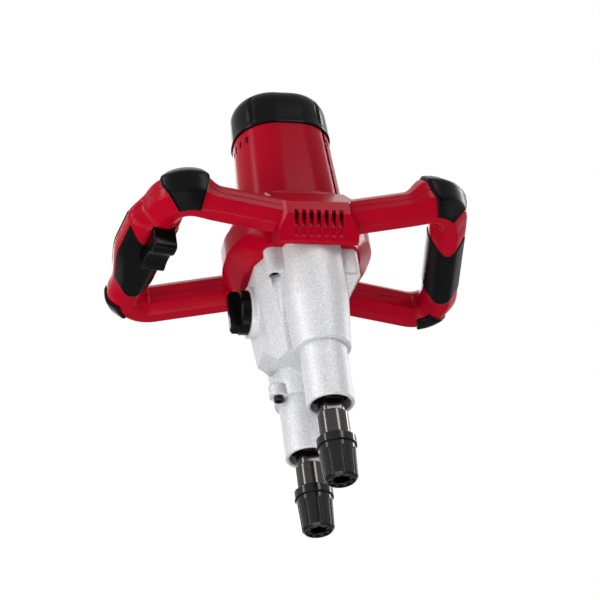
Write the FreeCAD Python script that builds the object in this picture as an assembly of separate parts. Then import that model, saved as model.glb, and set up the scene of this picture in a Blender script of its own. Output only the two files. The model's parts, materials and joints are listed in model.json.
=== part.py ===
"""Hand held mixing drill with two counter-rotating spindles, in millimetres, +Z up.

The origin lies midway between the two chucks, in the plane of their mouths.
The motor axis is the Z axis, -Y is the front, and the switch handle is on -X.
"""
import math
import os

import FreeCAD
import Part

V = FreeCAD.Vector

# Running clearances and fits
running_clearance = 0.04
free_clearance = 0.5
gear_backlash = 0.16

# Spindles, chucks and nose tubes
spindle_pitch = 104.0
nose_radius = 24.0
nose_wall = 4.0
nose_bottom = 84.5
nose_spigot = 11.0
nose_spigot_step = 1.5
column_bottom = 148.5
column_foot_radius = 28.5
column_top_radius = 33.5
column_draft_top = 205.0
sleeve_length = 46.0
sleeve_tip_radius = 16.6
sleeve_body_radius = 18.4
sleeve_collar_radius = 20.0
sleeve_collar_height = 9.5
sleeve_tip_chamfer = 2.5
sleeve_flutes = 8
sleeve_flute_radius = 2.6
sleeve_flute_depth = 1.3
sleeve_travel = 6.0
socket_radius = 12.6
socket_bore = 8.1
socket_depth = 24.0
socket_rim = 1.5
neck_radius = 15.7
neck_overlap = 6.0
neck_top = 73.0
flats_radius = 13.5
flats_width = 22.0
flats_height = 14.0
spindle_radius = 10.0
spindle_shoulder = 96.0
lock_ball_height = 14.0
lock_ball_count = 3
chuck_spring_wall = 1.2
chuck_spring_length = 12.0

# Bearings, each outer radius, bore and width
nose_bearing_width = 12.0
nose_bearing_bottom = 101.0
seal_width = 5.0
column_bearing_radius = 21.0
column_bearing_width = 12.0
top_bearing_radius = 14.0
top_bearing_width = 8.0
top_journal_radius = 8.0
counter_bearing_radius = 11.0
counter_bearing_width = 7.0
counter_radius = 5.0
motor_bearing_radius = 15.0
motor_bearing_width = 10.0
motor_journal_radius = 7.0
upper_bearing_radius = 13.0
upper_bearing_width = 9.0
upper_journal_radius = 6.0

# Gear case and bearing plate
case_left = 54.0
case_right = 37.0
case_front = 46.0
case_rear = 60.0
case_corner = 24.0
case_wall = 4.0
case_side_wall = 9.0
case_edge_y = 28.0
case_shoulder_x = 41.0
case_shoulder_y = 56.0
case_rear_cut = 29.0
case_bottom = 150.0
case_draft = 9.0
case_taper = 6.0
case_draft_top = 236.0
case_under_x = -24.0
case_under_y = -20.0
case_under_z = 147.0
case_under_rise_left = 0.7
case_under_rise_rear = 0.82
case_under_top = 178.0
case_floor = 190.0
case_top = 266.0
plate_thickness = 13.0
pocket_radius = 29.8
lug_offset = 40.6
lug_station = 55.0
lug_radius = 9.0
lug_bottom = 236.0
lug_web_half = 7.0
lug_web_foot = 31.0
lug_web_bottom = 205.0
screw_recess = 4.0
screw_radius = 3.0
screw_head_radius = 5.2
screw_head_height = 5.0
nose_lug_radius = 9.5
nose_lug_height = 12.0
nose_lug_offset = 27.5

# Gears: modules, teeth, faces and tooth form
pressure_angle = math.radians(25.0)
addendum = 0.8
dedendum = 1.15
motor_module = 1.0
motor_pinion_teeth = 9
first_gear_teeth = 47
drive_module = 1.5
low_pinion_teeth = 12
low_gear_teeth = 36
high_pinion_teeth = 18
high_gear_teeth = 30
idler_teeth = 18
low_face = 12.0
high_face = 10.0
first_face = 10.0
gear_floor_gap = 3.0
gear_gap = 3.6
dog_disc_radius = 13.0
dog_disc_height = 3.6
dog_height = 2.2
dog_width = 5.0
dog_count = 4
dog_inner_radius = 7.5
shift_sleeve_height = 7.0
shift_groove_width = 3.6
shift_groove_radius = 9.6
shift_travel = 3.5
fork_thickness = 3.0
fork_radius = 16.5
fork_rod_radius = 3.0
fork_hub_radius = 5.6
fork_rod_x = -38.0
fork_rod_y = -6.0
idler_axle_radius = 4.0
idler_boss_radius = 7.0

# Selector on the left face
selector_y = 5.0
selector_z = 230.0
selector_boss_radius = 27.0
selector_boss_height = 4.5
knob_radius = 23.5
knob_thickness = 10.0
knob_bar_width = 13.0
knob_bar_height = 9.5
knob_shaft_radius = 6.0
knob_turn = math.radians(90.0)
pin_radius = 2.2
pin_length = 5.0

# Motor and its housing
barrel_top = 446.0
barrel_top_width = 53.0
barrel_top_depth = 44.0
barrel_low_width = 60.0
barrel_low_depth = 53.0
barrel_corner = 43.0
barrel_wall = 4.0
barrel_floor = 5.0
barrel_floor_hole = 22.0
barrel_groove = 5.0
barrel_groove_depth = 2.5
barrel_groove_bottom = 335.0
barrel_vents = 4
barrel_vent_width = 4.0
barrel_vent_height = 9.0
barrel_vent_pitch = 9.0
barrel_vent_shift = 14.0
cap_height = 49.0
cap_wall = 3.0
cap_shoulder = 32.0
cap_crown_width = 42.0
cap_crown_depth = 35.0
cap_crown_corner = 33.0
cap_rim = 1.6
cap_ring_radius = 27.0
cap_ring_wall = 3.0
cap_ring_height = 2.5
cap_groove = 3.0
cap_groove_x = 37.0
cap_slits = 5
cap_slit_width = 3.0
cap_slit_pitch = 7.5
stator_radius = 41.0
top_seat_radius = 38.0
stator_bore = 24.8
stator_back = 7.0
stator_bottom = 318.0
stator_length = 66.0
pole_half_angle = math.radians(52.0)
coil_half_angle = math.radians(78.0)
coil_gap = 1.2
coil_overhang = 10.0
armature_radius = 24.0
armature_slots = 12
slot_width = 3.0
slot_depth = 9.0
armature_shaft_radius = 8.0
commutator_radius = 15.0
bridge_gap = 2.0
commutator_gap = 1.0
commutator_length = 22.0
commutator_bars = 24
brush_width = 7.0
brush_height = 12.0
brush_clearance = 0.35
holder_wall = 2.0
bridge_thickness = 5.0
fan_radius = 37.0
fan_bottom = 284.0
fan_height = 18.0
fan_disc = 3.0
fan_hub_radius = 14.0
fan_blades = 12
fan_blade_thickness = 2.0

# Frame round the motor foot and the vent box in front
frame_foot_width = 57.0
frame_foot_depth = 85.0
frame_waist_width = 78.0
frame_waist_depth = 76.0
frame_waist_low = 290.0
frame_waist_high = 312.0
frame_top = 345.0
frame_top_width = 62.5
frame_top_depth = 56.0
frame_foot_corner = 50.0
frame_waist_corner = 68.0
frame_top_corner = 46.0
box_front = 107.0
box_half_width = 42.0
box_chamfer = 10.0
box_face_low = 278.0
box_face_high = 293.0
box_under_y = 93.0
box_lip_bottom = 254.0
box_lip_gap = 1.0
box_wall = 5.0
vent_slots = 7
vent_width = 4.2
vent_pitch = 7.8
vent_top = 282.5
vent_notch = 8.0
vent_groove = 2.5
vent_end = 12.0

# Handles: centre line corners, sections and trim
arm_root = (28.0, -85.0, 288.0)
grip_front = (146.0, -95.0, 305.0)
grip_rear = (180.0, 96.0, 293.0)
rear_root = (6.0, 55.0, 300.0)
front_bend = 28.0
rear_bend = 26.0
corner_steps = 5
arm_width = 36.0
arm_height = 34.0
arm_chamfer = 10.0
grip_width = 40.0
grip_height = 40.0
grip_chamfer = 12.5
flare_length = 22.0
flare_width = 40.0
flare_height = 50.0
flare_chamfer = 14.0
flare_lift = 7.0
bulge_start = 42.0
bulge_end = 80.0
switch_bulge = 14.0
rear_width = 33.0
rear_height = 39.0
rear_chamfer = 9.5
handle_wall = 3.2
soft_thickness = 2.6
soft_front = -57.0
soft_tip = -31.0
soft_rear = 50.0
soft_rear_side = 30.0
bumper_thickness = 3.0
bumper_wrap = 4.0
bumper_edge = 3.0

# Trigger and switch in the left handle
trigger_station = 0.285
trigger_length = 46.0
trigger_width = 17.0
paddle_width = 24.0
paddle_top = 17.0
paddle_nose = 13.0
paddle_heel = 12.0
trigger_reach = 42.0
trigger_depth = 8.0
trigger_channel = 7.0
trigger_pivot_inset = 7.0
trigger_pivot_depth = 4.5
trigger_pin_radius = 2.0
trigger_end_gap = 2.5
switch_seat_gap = 0.3
switch_length = 46.0
switch_width = 17.0
switch_ear = 2.4
ear_length = 10.0
ear_height = 12.5
trigger_spring_radius = 3.0
trigger_spring_length = 6.0
inlet_radius = 7.0
inlet_bore = 4.5
inlet_length = 12.0

# Derived places
half_pitch = spindle_pitch / 2
neck_bottom = sleeve_length - neck_overlap
lock_ball_radius = (socket_radius - socket_bore) / 2 - 2 * running_clearance
front_at = (0.0, -half_pitch)
rear_at = (0.0, half_pitch)
motor_at = (0.0, 0.0)
motor_reach = motor_module * (motor_pinion_teeth + first_gear_teeth) / 2
drive_reach = drive_module * (low_pinion_teeth + low_gear_teeth) / 2
counter_y = (motor_reach ** 2 - drive_reach ** 2 + half_pitch ** 2) / (2 * half_pitch)
counter_at = (-math.sqrt(motor_reach ** 2 - counter_y ** 2), counter_y)
idler_reach = drive_module * (idler_teeth + low_gear_teeth) / 2
idler_y = drive_module * idler_teeth / 2
idler_x = math.sqrt(idler_reach ** 2 - (half_pitch - idler_y) ** 2)
front_idler_at = (idler_x, -idler_y)
rear_idler_at = (idler_x, idler_y)
low_bottom = case_floor + gear_floor_gap
low_top = low_bottom + low_face
low_disc_bottom = low_top + free_clearance
low_disc_top = low_disc_bottom + dog_disc_height
sleeve_bottom = low_disc_top + free_clearance
sleeve_top = sleeve_bottom + shift_sleeve_height
high_disc_bottom = sleeve_top + dog_height + shift_travel + free_clearance
high_disc_top = high_disc_bottom + dog_disc_height
high_bottom = high_disc_top + free_clearance
high_top = high_bottom + high_face
first_bottom = high_top + gear_gap
first_top = first_bottom + first_face
plate_bottom = case_top - plate_thickness
sleeve_mid = (sleeve_bottom + sleeve_top) / 2
nose_bore = nose_radius - nose_wall
stator_top = stator_bottom + stator_length
bridge_bottom = stator_top + coil_overhang + bridge_gap
bridge_top = bridge_bottom + bridge_thickness
commutator_bottom = bridge_top + commutator_gap
cap_top = barrel_top + cap_height


# Shape helpers
def cyl(radius, low, high, at=(0.0, 0.0)):
    return Part.makeCylinder(radius, high - low, V(at[0], at[1], low))


def ring(outer, inner, low, high, at=(0.0, 0.0)):
    return cyl(outer, low, high, at).cut(cyl(inner, low, high, at))


def block(x0, x1, y0, y1, z0, z1):
    return Part.makeBox(x1 - x0, y1 - y0, z1 - z0, V(x0, y0, z0))


def wire(points):
    return Part.makePolygon(points + [points[0]])


def prism(outline, low, high):
    face = Part.Face(wire([V(x, y, low) for x, y in outline]))
    return face.extrude(V(0, 0, high - low))


def turned(profile, at=(0.0, 0.0)):
    face = Part.Face(wire([V(at[0] + r, at[1], z) for r, z in profile]))
    return face.revolve(V(at[0], at[1], 0), V(0, 0, 1), 360)


def joined(shapes):
    first = shapes[0]
    if len(shapes) == 1:
        return first
    return first.fuse(shapes[1:]).removeSplitter()


def round_rect(width, depth, corner, z):
    """Rounded outline with half sizes width and depth at one height."""
    bend = min(corner, width - 1, depth - 1)
    a = width - bend
    b = depth - bend
    edges = []
    corners = [(a, -b, -90), (a, b, 0), (-a, b, 90), (-a, -b, 180)]
    for x, y, start in corners:
        arc = Part.Circle(V(x, y, z), V(0, 0, 1), bend)
        edges.append(Part.Edge(arc, math.radians(start), math.radians(start + 90)))
    ends = []
    for i, edge in enumerate(edges):
        following = edges[(i + 1) % 4]
        ends.append(edge)
        start_point = edge.valueAt(edge.LastParameter)
        end_point = following.valueAt(following.FirstParameter)
        ends.append(Part.makeLine(start_point, end_point))
    return Part.Wire(ends)


def skin(sections):
    return Part.makeLoft([round_rect(*s) for s in sections], True, True)


def around(shape, count, at=(0.0, 0.0)):
    copies = []
    for i in range(count):
        turn = shape.copy()
        turn.rotate(V(at[0], at[1], 0), V(0, 0, 1), 360.0 * i / count)
        copies.append(turn)
    return copies


def mirrored(shape):
    return shape.mirror(V(0, 0, 0), V(1, 0, 0))


# Involute gears: each flank runs from the root through the pitch circle to the tip
def involute(angle):
    return math.tan(angle) - angle


def tooth_half_angle(module, teeth, radius):
    pitch = module * teeth / 2
    base = pitch * math.cos(pressure_angle)
    half = math.pi / (2 * teeth) - gear_backlash / (2 * pitch)
    if radius <= base:
        return half + involute(pressure_angle)
    return half + involute(pressure_angle) - involute(math.acos(base / radius))


def gear(module, teeth, low, high, at, phase):
    pitch = module * teeth / 2
    base = pitch * math.cos(pressure_angle)
    root = pitch - dedendum * module
    tip = pitch + addendum * module
    radii = [root, pitch, tip]
    if base > root:
        radii = [root, base, pitch, tip]
    points = []
    for i in range(teeth):
        centre = phase + 2 * math.pi * i / teeth
        flank = [(r, tooth_half_angle(module, teeth, r)) for r in radii]
        both = [(r, centre - a) for r, a in flank] + [(r, centre + a) for r, a in reversed(flank)]
        points += [(at[0] + r * math.cos(a), at[1] + r * math.sin(a)) for r, a in both]
    return prism(points, low, high)


def mesh_phase(driver_at, driver_phase, driver_teeth, at, teeth):
    """Turn of a gear that puts a gap where its driver has a tooth."""
    line = math.atan2(at[1] - driver_at[1], at[0] - driver_at[0])
    share = (driver_phase - line) * driver_teeth / (2 * math.pi)
    return line + math.pi - share * 2 * math.pi / teeth + math.pi / teeth


motor_phase = 0.0
first_phase = mesh_phase(motor_at, motor_phase, motor_pinion_teeth, counter_at, first_gear_teeth)
low_pinion_phase = 0.0
rear_low_phase = mesh_phase(counter_at, low_pinion_phase, low_pinion_teeth, rear_at, low_gear_teeth)
rear_idler_phase = mesh_phase(rear_at, rear_low_phase, low_gear_teeth, rear_idler_at, idler_teeth)
front_idler_phase = mesh_phase(rear_idler_at, rear_idler_phase, idler_teeth, front_idler_at, idler_teeth)
front_gear_phase = mesh_phase(front_idler_at, front_idler_phase, idler_teeth, front_at, low_gear_teeth)
rear_high_phase = 0.0
high_pinion_phase = mesh_phase(rear_at, rear_high_phase, high_gear_teeth, counter_at, high_pinion_teeth)

parts = {}


# Gear case: two drafted columns, a facetted block, lugs and the gear pocket
def case_outline(z, taper):
    draft = case_draft * max(0.0, case_draft_top - z) / (case_draft_top - case_bottom)
    left = -case_left + draft
    right = case_right - taper
    front = -case_front + taper
    rear = case_rear - taper
    shoulder = -case_shoulder_y + draft
    small = case_corner / 2
    outline = [
        (left, -case_edge_y + 0.3 * draft),
        (-case_shoulder_x + 0.6 * draft, shoulder),
        (-case_shoulder_x / 2, shoulder),
        (right - small, front),
        (right, front + small),
        (right, rear - small),
        (right - small, rear),
        (left + case_rear_cut, rear),
        (left, rear - case_rear_cut),
    ]
    return wire([V(x, y, z) for x, y in outline])


def pocket_outline():
    left = -case_left + case_side_wall
    right = case_right - case_wall
    front = -case_front + case_wall
    rear = case_rear - case_wall
    cut = case_corner - 0.6 * case_wall
    small = cut / 2
    rear_cut = case_rear_cut - case_wall
    return [
        (left, front + cut),
        (left + small, front),
        (right - small, front),
        (right, front + small),
        (right, rear - small),
        (right - small, rear),
        (left + rear_cut, rear),
        (left, rear - rear_cut),
    ]


pocket = joined(
    [
        prism(pocket_outline(), case_floor, case_top),
        cyl(pocket_radius, case_floor, case_top, front_at),
        cyl(pocket_radius, case_floor, case_top, rear_at),
    ]
)
case_body = Part.makeLoft(
    [
        case_outline(case_bottom, case_taper),
        case_outline(case_floor - case_wall, 0.0),
        case_outline(case_draft_top, 0.0),
        case_outline(case_top, 0.0),
    ],
    True,
    True,
)
# The underside rises to the left and the rear, up to a flat under the pocket floor
under = block(-2 * case_left, 2 * case_right, -2 * case_front, 2 * case_rear, case_bottom - 1, case_under_top)
above = Part.makeBox(1000, 1000, 500, V(-500, -500, 0))
above.Placement = FreeCAD.Placement(
    V(case_under_x, case_under_y, case_under_z),
    FreeCAD.Rotation(V(0, 0, 1), V(case_under_rise_left, -case_under_rise_rear, 1)),
).multiply(above.Placement)
case_body = case_body.cut(under.cut(above))
case_solids = [case_body]
for at in (front_at, rear_at):
    column = [
        (0.0, column_bottom),
        (column_foot_radius, column_bottom),
        (column_top_radius, column_draft_top),
        (column_top_radius, case_top),
        (0.0, case_top),
    ]
    case_solids.append(turned(column, at))
lug_places = [(sx * lug_offset, sy * lug_station) for sx in (-1, 1) for sy in (-1, 1)]
for at in lug_places:
    toward = math.copysign(lug_radius, at[0])
    case_solids.append(cyl(lug_radius, lug_bottom, case_top, at))
    case_solids.append(
        block(
            min(at[0] - 2 * toward, at[0]),
            max(at[0] - 2 * toward, at[0]),
            at[1] - lug_radius,
            at[1] + lug_radius,
            lug_bottom,
            case_top,
        )
    )
    if at[0] > 0:
        web_edge = at[1] - lug_web_half
        web_outline = [
            (lug_web_foot, lug_web_bottom),
            (at[0] + lug_radius - 1, lug_bottom),
            (lug_web_foot - lug_radius, lug_bottom),
            (lug_web_foot - lug_radius, lug_web_bottom),
        ]
        web_face = Part.Face(wire([V(x, web_edge, z) for x, z in web_outline]))
        case_solids.append(web_face.extrude(V(0, 2 * lug_web_half, 0)))
boss_start = V(-case_left - selector_boss_height, selector_y, selector_z)
boss_depth = case_side_wall + selector_boss_height
case_solids.append(Part.makeCylinder(selector_boss_radius, boss_depth, boss_start, V(1, 0, 0)))
nose_lug_at = (-nose_lug_offset, half_pitch - nose_lug_offset / 2)
case_solids.append(cyl(nose_lug_radius, column_bottom, column_bottom + nose_lug_height, nose_lug_at))
head_low = lug_bottom + screw_recess
head_seat = head_low + screw_head_height
case_shape = joined(case_solids)
for at in lug_places:
    case_shape = case_shape.cut(cyl(screw_head_radius + free_clearance, case_bottom - 1, head_seat, at))
case_shape = case_shape.cut(pocket)
boss_top = low_bottom - free_clearance
idler_places = (front_idler_at, rear_idler_at)
case_shape = case_shape.fuse([cyl(idler_boss_radius, case_floor, boss_top, at) for at in idler_places])
case_cuts = []
for at in (front_at, rear_at):
    seat = case_floor - column_bearing_width
    case_cuts.append(cyl(column_bearing_radius, seat, case_floor, at))
    case_cuts.append(cyl(spindle_radius + 4 * free_clearance, column_bottom, case_floor, at))
    case_cuts.append(cyl(nose_radius - nose_spigot_step, column_bottom, column_bottom + nose_spigot, at))
case_cuts.append(cyl(counter_bearing_radius, case_floor - counter_bearing_width, case_floor, counter_at))
axle_foot = case_floor - 2 * idler_axle_radius
for at in idler_places:
    case_cuts.append(cyl(idler_axle_radius, axle_foot, low_bottom, at))
rod_at = (fork_rod_x, fork_rod_y)
rod_foot = case_floor - 2 * fork_rod_radius
case_cuts.append(cyl(fork_rod_radius, rod_foot, case_floor, rod_at))
for at in lug_places:
    case_cuts.append(cyl(screw_radius, head_seat, case_top, at))
shaft_hole = knob_shaft_radius + running_clearance
case_cuts.append(Part.makeCylinder(shaft_hole, boss_depth, boss_start, V(1, 0, 0)))
case_cuts.append(cyl(screw_radius, column_bottom, column_bottom + nose_lug_height - 2, nose_lug_at))
parts["gear_case"] = case_shape.cut(case_cuts)

# Bearing plate closing the gear pocket
plate = pocket.common(block(-200, 200, -200, 200, plate_bottom, case_top))
plate_cuts = [cyl(motor_bearing_radius, case_top - motor_bearing_width, case_top)]
plate_cuts.append(cyl(motor_journal_radius + 2 * free_clearance, plate_bottom, case_top))
counter_top = plate_bottom + counter_bearing_width
plate_cuts.append(cyl(counter_bearing_radius, plate_bottom, counter_top, counter_at))
for at in (front_at, rear_at):
    plate_cuts.append(cyl(top_bearing_radius, plate_bottom, plate_bottom + top_bearing_width, at))
rod_head = plate_bottom + 2 * fork_rod_radius
plate_cuts.append(cyl(fork_rod_radius, plate_bottom, rod_head, rod_at))
parts["bearing_plate"] = plate.cut(plate_cuts)

# Nose tubes with a spigot in each column
for name, at in (("front", front_at), ("rear", rear_at)):
    spigot = nose_radius - nose_spigot_step
    profile = [
        (nose_bore, nose_bottom + 1),
        (nose_bore + 1, nose_bottom),
        (nose_radius - 1, nose_bottom),
        (nose_radius, nose_bottom + 1),
        (nose_radius, column_bottom),
        (spigot, column_bottom),
        (spigot, column_bottom + nose_spigot),
        (nose_bore, column_bottom + nose_spigot),
    ]
    parts[name + "_nose_tube"] = turned(profile, at)

# Screws: through the case lugs, and in the lug behind the nose tubes
case_screws = []
for at in lug_places:
    head = cyl(screw_head_radius, head_low, head_seat, at)
    corners = [math.radians(60 * i) for i in range(6)]
    hexagon = [(at[0] + screw_radius * math.cos(a), at[1] + screw_radius * math.sin(a)) for a in corners]
    head = head.cut(prism(hexagon, head_low, head_low + screw_head_height / 2))
    shank = cyl(screw_radius, head_seat, case_top, at)
    case_screws.append(head.fuse(shank))
parts["case_screws"] = Part.makeCompound(case_screws)
nose_head_low = column_bottom - screw_head_height
nose_head = cyl(screw_head_radius, nose_head_low, column_bottom, nose_lug_at)
nose_socket = cyl(screw_radius, nose_head_low, nose_head_low + screw_head_height / 2, nose_lug_at)
nose_shank = cyl(screw_radius, column_bottom, column_bottom + nose_lug_height - 2, nose_lug_at)
parts["nose_screw"] = nose_head.cut(nose_socket).fuse(nose_shank)

# Spindles, their bearings and seals
seal_top = nose_bearing_bottom
bearings = []
seals = []
for name, at in (("front", front_at), ("rear", rear_at)):
    profile = [
        (socket_bore, socket_rim),
        (socket_radius, socket_rim),
        (socket_radius, neck_bottom),
        (neck_radius, neck_bottom),
        (neck_radius, neck_top - 1),
        (neck_radius - 1, neck_top),
        (flats_radius, neck_top),
        (flats_radius, spindle_shoulder),
        (spindle_radius, spindle_shoulder),
        (spindle_radius, plate_bottom - 1),
        (top_journal_radius, plate_bottom - 1),
        (top_journal_radius, plate_bottom + top_bearing_width),
        (0.0, plate_bottom + top_bearing_width),
        (0.0, socket_rim + socket_depth),
        (socket_bore, socket_rim + socket_depth),
    ]
    spindle = turned(profile, at)
    for side in (-1, 1):
        edge = at[1] + side * flats_width / 2
        far = at[1] + side * 2 * flats_radius
        flats_top = neck_top + flats_height
        flat = block(-flats_radius, flats_radius, min(edge, far), max(edge, far), neck_top, flats_top)
        spindle = spindle.cut(flat)
    ball_centre = socket_bore + lock_ball_radius + running_clearance
    ball = Part.makeSphere(lock_ball_radius, V(at[0] + ball_centre, at[1], lock_ball_height))
    seat_start = V(at[0] + socket_bore - 1, at[1], lock_ball_height)
    ball_hole = lock_ball_radius + running_clearance
    hole = Part.makeCylinder(ball_hole, socket_radius - socket_bore + 2, seat_start, V(1, 0, 0))
    parts[name + "_spindle"] = spindle.cut(around(hole, lock_ball_count, at))
    parts[name + "_lock_balls"] = Part.makeCompound(around(ball, lock_ball_count, at))
    bore = spindle_radius + running_clearance
    nose_bearing_top = nose_bearing_bottom + nose_bearing_width
    bearings.append(ring(nose_bore, bore, nose_bearing_bottom, nose_bearing_top, at))
    bearings.append(ring(column_bearing_radius, bore, case_floor - column_bearing_width, case_floor, at))
    top_bore = top_journal_radius + running_clearance
    bearings.append(ring(top_bearing_radius, top_bore, plate_bottom, plate_bottom + top_bearing_width, at))
    seals.append(ring(nose_bore, bore, seal_top - seal_width + running_clearance, seal_top, at))
parts["spindle_bearings"] = Part.makeCompound(bearings)
parts["spindle_seals"] = Part.makeCompound(seals)

# Chuck sleeves: fluted taper, raised collar round the neck, and a spring under the neck
for name, at in (("front", front_at), ("rear", rear_at)):
    inside = socket_radius + running_clearance
    collar_bottom = sleeve_length - sleeve_collar_height
    spring_bottom = neck_bottom - chuck_spring_length
    spring_pocket = inside + chuck_spring_wall + free_clearance
    neck_pocket = neck_radius + free_clearance
    neck_floor = neck_bottom - sleeve_travel - free_clearance
    profile = [
        (inside, 0.0),
        (sleeve_tip_radius - sleeve_tip_chamfer, 0.0),
        (sleeve_tip_radius, sleeve_tip_chamfer),
        (sleeve_body_radius, collar_bottom - 0.8),
        (sleeve_body_radius - 0.8, collar_bottom),
        (sleeve_collar_radius, collar_bottom + 0.4),
        (sleeve_collar_radius, sleeve_length - 1),
        (sleeve_collar_radius - 1, sleeve_length),
        (neck_pocket, sleeve_length),
        (neck_pocket, neck_floor),
        (spring_pocket, neck_floor),
        (spring_pocket, spring_bottom),
        (inside, spring_bottom),
    ]
    sleeve = turned(profile, at)
    flute_centre = sleeve_tip_radius + sleeve_flute_radius - sleeve_flute_depth
    flute = Part.makeCylinder(sleeve_flute_radius, collar_bottom - 5, V(at[0] + flute_centre, at[1], -1))
    lean = math.degrees(math.atan((sleeve_body_radius - sleeve_tip_radius) / (collar_bottom - 5)))
    flute.rotate(V(at[0] + flute_centre, at[1], -1), V(0, 1, 0), lean)
    parts[name + "_chuck_sleeve"] = sleeve.cut(around(flute, sleeve_flutes, at))
    spring_bore = socket_radius + 2 * running_clearance
    spring = ring(inside + chuck_spring_wall, spring_bore, spring_bottom, neck_bottom, at)
    parts[name + "_chuck_spring"] = spring

# Gears on the spindles
bore = cyl(spindle_radius, low_bottom - 1, high_top + 1, front_at)
front_gear = gear(drive_module, low_gear_teeth, low_bottom, low_top, front_at, front_gear_phase)
parts["front_spindle_gear"] = front_gear.cut(bore)
bore = cyl(spindle_radius, low_bottom - 1, high_top + 1, rear_at)
rear_low = gear(drive_module, low_gear_teeth, low_bottom, low_top, rear_at, rear_low_phase)
parts["rear_low_gear"] = rear_low.cut(bore)
rear_high = gear(drive_module, high_gear_teeth, high_bottom, high_top, rear_at, rear_high_phase)
parts["rear_high_gear"] = rear_high.cut(bore)

# Idlers on fixed axles
idlers = (("front", front_idler_at, front_idler_phase), ("rear", rear_idler_at, rear_idler_phase))
axles = []
for name, at, phase in idlers:
    wheel = gear(drive_module, idler_teeth, low_bottom, low_top, at, phase)
    parts[name + "_idler"] = wheel.cut(cyl(idler_axle_radius + running_clearance, low_bottom, low_top, at))
    axle = cyl(idler_axle_radius, axle_foot, low_top + free_clearance, at)
    head = cyl(idler_axle_radius + 2, low_top + free_clearance, low_top + 2 + free_clearance, at)
    axles.append(axle.fuse(head))
parts["idler_axles"] = Part.makeCompound(axles)

# Countershaft with the first gear and the two pinions, each with a dog disc
counter_bottom = case_floor - counter_bearing_width
counter_body = counter_radius + 1.5
shaft = joined(
    [
        cyl(counter_radius, counter_bottom, counter_top, counter_at),
        cyl(counter_body, case_floor + 1, plate_bottom - 1, counter_at),
    ]
)
parts["countershaft"] = shaft
counter_hole = cyl(counter_body, case_floor, case_top, counter_at)
first = gear(motor_module, first_gear_teeth, first_bottom, first_top, counter_at, first_phase)
lightening = cyl(3.5, first_bottom, first_top, (counter_at[0] + 14.5, counter_at[1]))
first_cuts = [counter_hole] + around(lightening, 6, counter_at)
parts["first_gear"] = first.cut(first_cuts)
low_pinion = gear(drive_module, low_pinion_teeth, low_bottom, low_top, counter_at, low_pinion_phase)
low_hub = cyl(counter_body + 1, low_top, low_disc_bottom, counter_at)
low_disc = cyl(dog_disc_radius, low_disc_bottom, low_disc_top, counter_at)
dog_blank = ring(dog_disc_radius, dog_inner_radius, 0.0, dog_height, counter_at)
dog_slice = block(
    counter_at[0],
    counter_at[0] + 2 * dog_disc_radius,
    counter_at[1] - dog_width / 2,
    counter_at[1] + dog_width / 2,
    0.0,
    dog_height,
)
notch_slice = block(
    counter_at[0],
    counter_at[0] + 2 * dog_disc_radius,
    counter_at[1] - dog_width / 2 - free_clearance,
    counter_at[1] + dog_width / 2 + free_clearance,
    0.0,
    dog_height + free_clearance,
)
notch_bore = dog_inner_radius - free_clearance
notch_blank = ring(dog_disc_radius + 1, notch_bore, 0.0, dog_height + free_clearance, counter_at)
notches = notch_blank.common(joined(around(notch_slice, dog_count, counter_at)))
dogs = dog_blank.common(joined(around(dog_slice, dog_count, counter_at)))
low_notches = notches.translated(V(0, 0, low_disc_top - dog_height - free_clearance))
low_solid = joined([low_pinion, low_hub, low_disc]).cut([counter_hole, low_notches])
parts["low_pinion"] = low_solid
high_pinion = gear(drive_module, high_pinion_teeth, high_bottom, high_top, counter_at, high_pinion_phase)
high_hub = cyl(counter_body + 3, high_disc_top, high_bottom, counter_at)
high_disc = cyl(dog_disc_radius, high_disc_bottom, high_disc_top, counter_at)
high_notches = notches.translated(V(0, 0, high_disc_bottom))
high_hole = cyl(counter_body + running_clearance, high_disc_bottom, high_top, counter_at)
parts["high_pinion"] = joined([high_pinion, high_hub, high_disc]).cut([high_hole, high_notches])
sleeve_body = cyl(dog_disc_radius, sleeve_bottom, sleeve_top, counter_at)
groove_low = sleeve_mid - shift_groove_width / 2
groove_high = sleeve_mid + shift_groove_width / 2
groove = ring(dog_disc_radius + 1, shift_groove_radius, groove_low, groove_high, counter_at)
low_dogs = dogs.translated(V(0, 0, sleeve_bottom - dog_height))
high_dogs = dogs.translated(V(0, 0, sleeve_top))
sleeve_hole = cyl(counter_body + running_clearance, sleeve_bottom, sleeve_top, counter_at)
parts["shift_sleeve"] = joined([sleeve_body, low_dogs, high_dogs]).cut([groove, sleeve_hole])

# Shift fork on its rod, moved by the selector's eccentric pin
pin_offset = shift_travel / (2 * math.sin(knob_turn / 2))
pin_y = selector_y + pin_offset * math.cos(knob_turn / 2)
pin_z = selector_z - shift_travel / 2
tine_low = sleeve_mid - fork_thickness / 2
tine_high = sleeve_mid + fork_thickness / 2
inner_wall = -case_left + case_side_wall
arm_outer = inner_wall + free_clearance * 2
arm_inner = arm_outer + pin_length - 1
slot_half = pin_radius + free_clearance
slot_reach = pin_offset + 2 * free_clearance
fork_web = prism(
    [
        (rod_at[0], rod_at[1] - fork_hub_radius),
        (counter_at[0], counter_at[1] - fork_radius),
        (counter_at[0] - fork_radius, counter_at[1]),
        (arm_outer, selector_y + slot_reach + 2),
        (arm_outer, rod_at[1]),
    ],
    tine_low,
    tine_high,
)
tines = cyl(fork_radius, tine_low, tine_high, counter_at)
gap_radius = shift_groove_radius + free_clearance
gap = cyl(gap_radius, tine_low, tine_high, counter_at)
away = V(counter_at[0] - rod_at[0], counter_at[1] - rod_at[1], 0)
away.normalize()
mouth = block(0, 3 * fork_radius, -gap_radius, gap_radius, tine_low, tine_high)
mouth.rotate(V(0, 0, 0), V(0, 0, 1), math.degrees(math.atan2(away.y, away.x)))
mouth.translate(V(counter_at[0], counter_at[1], 0))
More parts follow.
